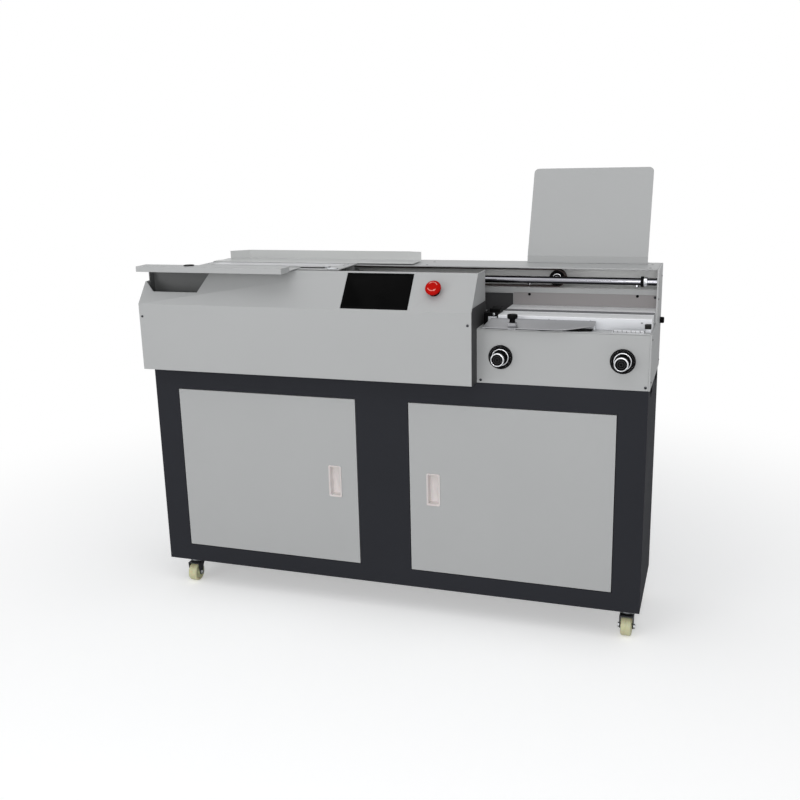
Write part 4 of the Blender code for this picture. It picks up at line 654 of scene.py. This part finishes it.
collar_rows = [
    ([(8.9, 0.2), (12.6, 0.2), (12.9, 0.7), (12.9, 6.2), (12.6, 6.8), (8.9, 6.8)], 0.3, black_abs, 64, hoop),
    ([(8.9, 6.8), (10.6, 6.8), (11.2, 7.6), (11.2, 14.6), (10.2, 15.8), (8.9, 15.8)], 0.4, polished_steel, 64,
     hoop),
]
clamp_screw = hexagon(2.4, 11.8, 12.9, (1.2630, shaft_y, shaft_z), top_face, fork_zinc)
build("shaft_collar_split", "machine",
      [*turned_set(collar_rows, (1.2595, shaft_y, shaft_z), right_face), clamp_screw], ["shaft_collar"])

# %% [markdown]
# ## Belt, pulleys and pins
# A toothed polyurethane belt pulls the carriage. Its dark woven back shows above the shaft, and it bends
# round a black toothed pulley with a bright hub. Two short chromed pins stand on the ledge behind.

# %% Pulleys and pins
pulley_teeth = {"waves": 32, "depth": 0.05, "waved": (-12.0, 11.0)}
for side, x, reach in (("idler", 1.053, -61.4), ("drive", 0.160, -17.2)):
    pulley_rows = [
        ([(0.1, -12.4), (19.5, -12.4), (19.5, 11.6), (18.9, 12.1), (16.4, 12.1), (15.6, 9.4), (8.6, 9.0),
          (8.0, 9.6), (0.1, 9.6)], 0.3, black_abs, 128, pulley_teeth),
        ([(0.1, reach), (3.8, reach), (3.8, -12.6), (6.0, -12.2), (6.0, 11.4), (5.4, 12.0), (3.4, 12.0),
          (3.0, 10.4), (0.1, 10.4)], 0.2, satin_ring, 48, {}),
        (rectangle(9.6, 9.0, 11.4, 10.6), 0.3, satin_ring, 64, hoop),
    ]
    build(f"{side}_pulley_toothed", f"{side}_pulley", turned_set(pulley_rows, (x, 0.210, 0.788), front_face),
          [f"{side}_pulley"])

pin_profile = [(0.1, 763.0), (6.2, 763.0), (6.2, 764.6), (5.2, 765.0), (5.2, 772.2), (4.5, 772.9),
               (0.1, 772.9)]
build("ledge_pins", "machine", [turned(pin_profile, 0.25, (x, 0.240, 0), top_face, polished_steel, 32)
                                for x in (0.9772, 1.2457)])

# %% [markdown]
# ## Pressing bars
# The book's cover is pressed between two drawn and anodised aluminium bars. A drawn bar has one section
# all along, with small round corners and grooves for sliding nuts, so it is one outline carried along X.
# The front bar slides, the rear bar stays. The bars' near-white is a painted highlight for their tops, the
# front bar has a darker anodised face plate as painted shade on its face, and a darker strip at the rear
# bar's front is painted shade for the gap between the bars.


# %% Two drawn bars with their grooves
def bar(front, rear, top, finish, groove=None):
    """A section (Y, Z) with a nick in its front and, where given, a groove in its top, carried along X."""
    points = [(front, bar_low), (rear, bar_low), (rear, top)]
    if groove:
        points += [(groove + across, top - deep)
                   for across, deep in ((1.2, 0), (1.0, 1.0), (-1.0, 1.0), (-1.2, 0))]
    points += [(front, top), (front, top - 4.0), (front + 0.6, top - 4.6), (front, top - 5.2)]
    return slab(eased(points, 0.8, 4, closed=True), bar_ends, home, right_face, finish)


bar_low = 691.4
bar_ends = [940.2, 1298.0]
# A darker plate on the front bar's face, painted shade against its lighter top.
shade_painted_face_plate = slab(rectangle(35.1, bar_low, 35.8, 718.3, 0.3), bar_ends, home, right_face, anodised_bar)
build("front_bar_drawn", "front_nip_bar", [bar(35.9, 99.9, 718.9, highlight_painted_bar, 92.0), shade_painted_face_plate],
      ["front_nip_bar"])
# The rear bar's narrow front section is painted shade for the gap between the bars.
build("rear_bar_drawn", "machine", [bar(133.2, 199.5, 718.9, highlight_painted_bar, 186.0),
                                    bar(115.1, 132.8, 718.8, shade_painted_grey)], ["rear_nip_bar"])

# %% [markdown]
# ## Screws
# Sheet is held by M4 pan-head screws with a cross recess, blackened or plain. A head is a low turned dome
# whose rim meets the sheet, and the shade in the recess is painted as two dark bars sunk into it. The
# carriage slides over the beam with half a millimetre to spare, so the beam's top has countersunk heads.


# %% A pan-head screw on any face
def screw(spot, sides, finish=fork_zinc, radius=3.4):
    """A dome of height 0.55 * r * sqrt(1 - (d / r)^2), and a cross of two black bars that rise to its top,
    painted shade for the recess.
    """
    top = 0.55 * radius
    share = np.cos(np.linspace(0.0, 1.54, 7))
    climb = top * np.sqrt(1 - share ** 2)
    profile = np.stack([np.append(share, 0.03) * radius, np.append(climb, top)], axis=1)
    foot = [(0.1, -0.3), (radius, -0.3)]
    long, short = 0.5 * radius, 0.11 * radius
    # Black bars paint the shade inside the cross recess.
    cross = [slab(rectangle(-across, -up, across, up), [0.2 * radius, 0.56 * radius], spot, sides, black_abs)
             for across, up in ((long, short), (short, long))]
    return [turned(np.vstack([foot, profile]), 0, spot, sides, finish, 24), *cross]


def screws(name, spots, sides, body="machine", finish=fork_zinc, radius=3.4):
    """All screws of one face as one piece."""
    build(name, body, [part for spot in spots for part in screw(spot, sides, finish, radius)])


screws("cover_screws", [(0.006, -0.045, 0.7005), (0.885, -0.045, 0.7046)], front_face)
screws("panel_screws", [(0.9055, 0.0, 0.5657), (1.2925, 0.0, 0.5662)], front_face)
screws("bar_screws", [(1.0625, 0.0352, 0.7110), (1.1596, 0.0352, 0.7110), (1.2763, 0.0352, 0.7105)],
       front_face, "front_nip_bar", bright_zinc, 2.6)
screws("right_plate_screws", [(1.3025, y, z) for y, z in (
    (0.020, 0.575), (0.280, 0.575), (0.270, 0.790), (0.175, 0.745), (0.020, 0.675))], right_face, radius=2.6)
screws("left_plate_screws", [(-0.0007, y, z) for y, z in (
    (0.120, 0.575), (0.280, 0.575), (0.280, 0.780), (0.120, 0.780))], left_face)
screws("rear_panel_screws", [(x, 0.2983, z) for x in (0.03, 0.34, 0.65, 0.96, 1.27) for z in (0.575, 0.78)],
       back_face)
screws("cabinet_back_screws",
       [(x, 0.3, z) for x in (0.02, 0.335, 0.65, 0.965, 1.28) for z in (0.02, 0.28, 0.54)], back_face)
flat_head = [(0.1, -0.3), (3.4, -0.3), (3.4, 0.15), (3.1, 0.3), (1.2, 0.3), (0.9, 0.1), (0.1, 0.1)]
build("beam_top_screws", "machine", [turned(flat_head, 0.1, (x, y, 0.8187), top_face, fork_zinc, 32)
                                     for x in (0.72, 1.28) for y in (0.182, 0.250)])

# %% [markdown]
# ## Sheet behind the bars
# Behind the bars a thin sheet closes the wall under the ledge; its darker grey is painted shade. It has two
# round holes below the pins and one screw at its right end. The shade in each hole is painted as a short
# black bush with a rim. Left of the bars the wall has a window, and a slate cover closes it from behind.
# Above the ledge a folded sheet in a paler coat paints light onto the back of the channel, where the lamps
# leave it dark.

# %% Sheet in painted shade with its bushes, window cover and the liner that paints light
# Darker grey sheet: painted shade on the wall under the ledge.
back_sheet = slab(rectangle(943.5, 719.6, 1298.0, 750.5, 1.5), [0.0, 0.5], (0, 0.1999, 0), front_face,
                  shade_painted_sheet_coat)
bush_profile = [(0.1, 0.3), (3.6, 0.3), (3.6, 1.0), (2.6, 1.3), (2.2, 0.7), (0.1, 0.6)]
# Black bushes paint the shade inside the two holes.
hole_shade_bushes = [turned(bush_profile, 0.2, (x, 0.1999, z), front_face, black_abs, 32)
          for x, z in ((0.984, 0.7462), (1.2506, 0.7472))]
build("station_back_sheet", "machine", [back_sheet, *hole_shade_bushes, *screw((1.2925, 0.1994, 0.7450), front_face)])
build("window_cover", "machine", [slab(rectangle(494.0, 701.0, 945.0, 750.6, 2.0), [-5.2, -3.2], (0, 0.2, 0),
                                       front_face, window_coat)])
# A pale folded sheet that paints light onto the channel's back.
light_painted_liner_points = [(271.9, 815.0), (271.5, 815.0), (271.5, 764.4), (197.5, 764.4), (197.5, 763.9),
                (271.9, 763.9)]
light_painted_liner = eased(light_painted_liner_points, 0.1, 3, closed=True)
build("channel_painted_light_liner", "machine", [slab(light_painted_liner, [200.0, 1298.0], home, right_face, light_painted_liner_coat)])

# %% [markdown]
# ## Small fittings of the pressing station
# A black bracket carries the bars' left ends, a black rubber stop sits at the right on a light base, and a
# narrow scale stands upright on the table's front edge. Its marks are 2 mm apart, with longer ones at
# every 10 mm and 20 mm.

# %% Bracket, stop and steel rule
bracket = [block((903.0, 939.4), (42.0, 95.5), (691.1, 722.0), black_abs),
           block((914.0, 939.4), (60.0, 95.0), (722.0, 730.0), black_abs),
           block((915.0, 936.0), (36.5, 44.0), (697.0, 714.0), anodised_bar)]
build("bar_end_bracket", "machine", [*bracket, *screw((0.928, 0.0418, 0.7190), front_face, bright_zinc)],
      bevel=0.5)
stop_base = block((1285.0, 1298.2), (20.0, 34.0), (691.1, 699.2), anodised_bar)
stop_pad = block((1284.0, 1298.2), (19.4, 34.2), (699.0, 708.5), black_rubber, 2.0)
build("end_stop", "machine", [stop_pad, stop_base], bevel=0.6)

rule = block((1213.0, 1284.0), (0.6, 1.6), (691.1, 699.0), clamp_steel, 0.3)
marks = []
for step in range(34):
    reach = 6.4 if step % 10 == 0 else 4.6 if step % 5 == 0 else 3.0
    spot = 1215.0 + 2 * step
    wide = 1.2 if step % 5 == 0 else 0.6
    marks.append(slab(rectangle(spot, 0, spot + wide, reach), [0.0, 0.3], (0, 0.00075, 0.6922), front_face,
                      black_abs))
build("steel_rule", "machine", [rule, *marks])

# %% [markdown]
# ## Knobs
# Three small knobs are black moulded plastic. The one that clamps the side guide has six lobes for the
# fingers, the one on the right plate is knurled, and both are a turned profile with a wave laid over its
# radius. The knob on the tray is a low domed disc.

# %% Lobed, knurled and domed knobs
lobed = [(0.1, 0.2), (7.3, 0.2), (6.4, 4.5), (7.3, 9.0), (11.6, 9.6), (12.4, 11.4), (12.4, 17.4),
         (11.4, 19.4), (8.0, 19.9), (7.0, 19.0), (0.1, 19.0)]
knurled = [(0.1, -12.0), (2.9, -12.0), (2.9, 0.2), (7.8, 0.2), (7.8, 8.2), (6.4, 10.0), (0.1, 10.3)]
domed = [(0.1, 0.05), (13.9, 0.05), (13.9, 1.3), (12.4, 2.2), (5.0, 2.45), (0.1, 2.45)]
guide_knob = turned(lobed, 1.2, (0.981, 0.006, 0.7071), top_face, black_abs, 96, steps=6,
                    waves=6, depth=0.09, waved=(10.0, 18.8))
plate_knob = turned(knurled, 0.8, (1.3028, 0.262, 0.680), right_face, black_abs, 144,
                    waves=36, depth=0.035, waved=(1.0, 7.6))
tray_disc = turned(domed, 0.6, (0.148, -0.031, 0.8333), top_face, black_abs)
build("side_guide_knob_lobed", "side_guide_knob", [guide_knob], ["side_guide_knob"])
build("side_knob_knurled", "side_knob", [plate_knob], ["side_knob"])
build("tray_knob_domed", "tray_knob", [tray_disc], ["tray_knob"])

# %% [markdown]
# ## Touch screen
# The screen lies flush in the sloping cover: a dark frame, and a dark glass 0.6 mm deeper. The frame is
# one rounded rectangle carried up its outside, over its rim and down its inside.

# %% Screen frame and glass
screen_middle = on_slope(0.650, 0.05475)
frame_rows = [(0.6, -5.4), (0.0, -5.0), (0.0, 0.2), (0.5, 0.5), (5.4, 0.5), (6.0, 0.1), (6.0, -0.6)]
glass_rows = [(0.0, -1.0), (0.0, -0.2), (0.2, -0.1)]
screen_frame = pressed(172.0, 100.5, 3.0, frame_rows, screen_middle, slope_face, screen_glass)
screen_pane = pressed(159.8, 88.3, 1.0, glass_rows, screen_middle, slope_face, screen_glass)
build("touch_screen_framed", "machine", [screen_frame, screen_pane], ["touch_screen"])

# %% [markdown]
# ## Carriage fittings
# A black strip on top of the carriage plate, at the jaw's front edge, is the painted shadow of the gap
# between the jaws. Beside it two bright clips and a few screws hold the plate to its hangers.

# %% Painted shadow strip, clips and screws on the carriage
plate_top = 821.3
# A black strip that paints the shadow of the gap between the jaws.
jaw_shadow_strip = block((130.0, 485.0), (56.3, 60.3), (plate_top, 823.5), black_rubber, 0.8)
clips = [block((478.0, 492.0), (66.0, 84.0), (plate_top, 824.4), bright_zinc, 1.5),
         block((500.0, 526.0), (40.0, 52.0), (plate_top, 824.0), bright_zinc, 1.5)]
build("carriage_jaw_shadow_strip", "carriage", [jaw_shadow_strip], bevel=0.4)
build("carriage_clips", "carriage", clips, bevel=0.4)
screws("carriage_plate_screws",
       [(x, y, plate_top * millimetre) for x in (0.126, 0.518) for y in (0.110, 0.140)],
       top_face, "carriage", bright_zinc, 3.0)

# %% [markdown]
# ## Side guide fittings
# Below the sheet a black wedge is the painted shadow that the sheet casts on the table, and a small light
# block at the right end holds the sheet's corner. Both ride on the guide, so they slide with it.

# %% Painted shadow wedge and end block under the sheet
# A black wedge that paints the shadow of the sheet on the table.
shadow_wedge_points = [(1055.0, -8.0), (1140.0, 8.0), (1166.0, 14.0), (1166.0, 30.0), (960.0, 30.0)]
shadow_wedge = slab(eased(shadow_wedge_points, 2.0, closed=True), [691.5, 694.2], home, top_face, black_abs)
end_block = block((1167.6, 1171.6), (24.0, 32.4), (691.5, 709.0), anodised_bar, 0.8)
build("side_guide_shadow_wedge", "side_guide", [shadow_wedge])
build("side_guide_end_block", "side_guide", [end_block], bevel=0.4)

# %% [markdown]
# ## Milling cutter and glue rollers
# The book's spine is roughened by a disc with carbide teeth and then wetted by two rollers in a heated
# tank. One tooth is a short slab with a slanted face; twelve of them stand round the rim.

# %% Toothed cutter and flanged rollers
cutter_spot = (0.530, 0.104, 0.684)
cutter_profile = [(0.1, 0.2), (5.8, 0.2), (5.8, 12.2), (39.0, 12.2), (42.0, 14.0), (42.0, 18.0), (37.0, 21.2),
                  (15.0, 21.2), (14.0, 20.0), (0.1, 20.0)]
cutter_disc = turned(cutter_profile, 0.8, cutter_spot, top_face, ground_steel, 96)
tooth = [(-2.6, 13.0), (2.2, 13.0), (3.2, 21.8), (-1.6, 21.8)]
teeth = [slab(tooth, [38.0, 44.6], cutter_spot, ((-math.sin(angle), math.cos(angle), 0.0), (0, 0, 1)),
              bright_zinc) for angle in np.radians(np.arange(0, 360, 30))]
nut = hexagon(8.0, 19.8, 21.9, cutter_spot, top_face, bright_zinc)
build("cutter_toothed", "milling_cutter", [cutter_disc, *teeth, nut], ["milling_cutter"])

roller_half = [(0.1, 61.9), (4.9, 61.9), (4.9, 57.5), (20.9, 57.5), (20.9, 53.0), (20.2, 52.4)]
roller_profile = [(radius, -out) for radius, out in roller_half] + roller_half[::-1]
for side, x in (("left", 0.655), ("right", 0.745)):
    barrel = turned(roller_profile, 0.5, (x, 0.104, 0.687), front_face, ground_steel, 96)
    build(f"{side}_roller_flanged", f"{side}_glue_roller", [barrel], [f"{side}_glue_roller"])

# %% [markdown]
# ## Power inlet
# Three flat blades stand in the inlet on the back, the middle one a little higher.

# %% Blades of the inlet
blades = [slab(rectangle(x - 1.0, z - 2.0, x + 1.0, z + 2.0), [4.2, 19.0], (0.420, 0.2763, 0.620), back_face,
               bright_zinc) for x, z in ((-7.0, -2.5), (7.0, -2.5), (0.0, 3.5))]
build("inlet_blades", "machine", blades)

# %% [markdown]
# ## Floor, background and lights
# A product photograph has a pale floor, a white background and large soft lamps. The background is white
# only to the camera and in reflections, so it lights nothing. The lamps and a weak sky do the lighting, at a
# level where a colour renders about as it is written.

# %% Floor and white background
floor_size = 14.0
floor_mesh = bpy.data.meshes.new("floor")
floor_rim = floor_size / 2 * np.array([(-1, -1, 0), (1, -1, 0), (1, 1, 0), (-1, 1, 0)])
floor_mesh.from_pydata(floor_rim.tolist(), [], [(0, 1, 2, 3)])
floor = bpy.data.objects.new("floor", floor_mesh)
into_scene(floor)

white = (1.0, 1.0, 1.0, 1.0)
paper, tree, shader = new_material("studio_paper")
where = add_node(tree, "TexCoord")
distance = add_node(tree, "VectorMath", {0: where.outputs["Object"]}, operation='LENGTH')
far = add_node(tree, "MapRange", {
    "Value": distance.outputs["Value"], "From Min": 0.7, "From Max": 2.2}, interpolation_type='SMOOTHSTEP')
seen = add_node(tree, "LightPath").outputs["Is Camera Ray"]
glow = add_node(tree, "Emission", {"Color": white, "Strength": 1.0})
fade = add_node(tree, "Math", {0: far.outputs["Result"], 1: seen}, operation='MULTIPLY')
blend = add_node(tree, "MixShader", {
    0: fade.outputs[0], 1: shader.outputs["BSDF"], 2: glow.outputs["Emission"]})
lift = add_node(tree, "Math", {0: seen, 1: 0.35}, operation='MULTIPLY')
fill(tree, shader, {"Base Color": linear("#F4F4F4"), "Roughness": 0.9, "Emission Strength": lift.outputs[0]})
fill(tree, tree.nodes["Material Output"], {"Surface": blend.outputs["Shader"]})
floor_mesh.materials.append(paper)

world = bpy.data.worlds.new("studio")
bpy.context.scene.world = world
world.use_nodes = True
tree = world.node_tree
tree.nodes.clear()
ray = add_node(tree, "LightPath").outputs
bare = add_node(tree, "Math", {0: ray["Is Camera Ray"], 1: ray["Is Glossy Ray"]}, operation='MAXIMUM')
seen = add_node(tree, "Math", {0: bare.outputs[0], 1: ray["Is Transmission Ray"]}, operation='MAXIMUM')
sky = add_node(tree, "Background", {"Color": linear("#F6F8FA"), "Strength": 0.42})
backdrop = add_node(tree, "Background", {"Color": white, "Strength": 1.0})
both = add_node(tree, "MixShader", {0: seen.outputs[0], 1: sky.outputs[0], 2: backdrop.outputs[0]})
add_node(tree, "OutputWorld", {"Surface": both.outputs[0]})
print("floor", floor_size, "m wide, sky at strength", sky.inputs["Strength"].default_value)


# %% Soft lamps
def soft_lamp(name, spot, size, power):
    """A square area lamp at a spot, turned to face the machine's middle."""
    data = bpy.data.lights.new(name, 'AREA')
    data.size = size
    data.energy = power
    lamp = bpy.data.objects.new(name, data)
    lamp.location = spot
    lamp.rotation_euler = (Vector(middle) - Vector(spot)).to_track_quat('-Z', 'Y').to_euler()
    into_scene(lamp)


middle = (0.0, 0.0, 0.6)
soft_lamp("overhead", (0.2, -1.0, 3.2), 3.0, 21.0)
soft_lamp("front_left", (-2.0, -3.4, 1.2), 2.2, 27.0)
soft_lamp("front_right", (0.93, -3.35, 1.31), 0.9, 21.5)
bpy.context.scene.view_settings.view_transform = 'Standard'
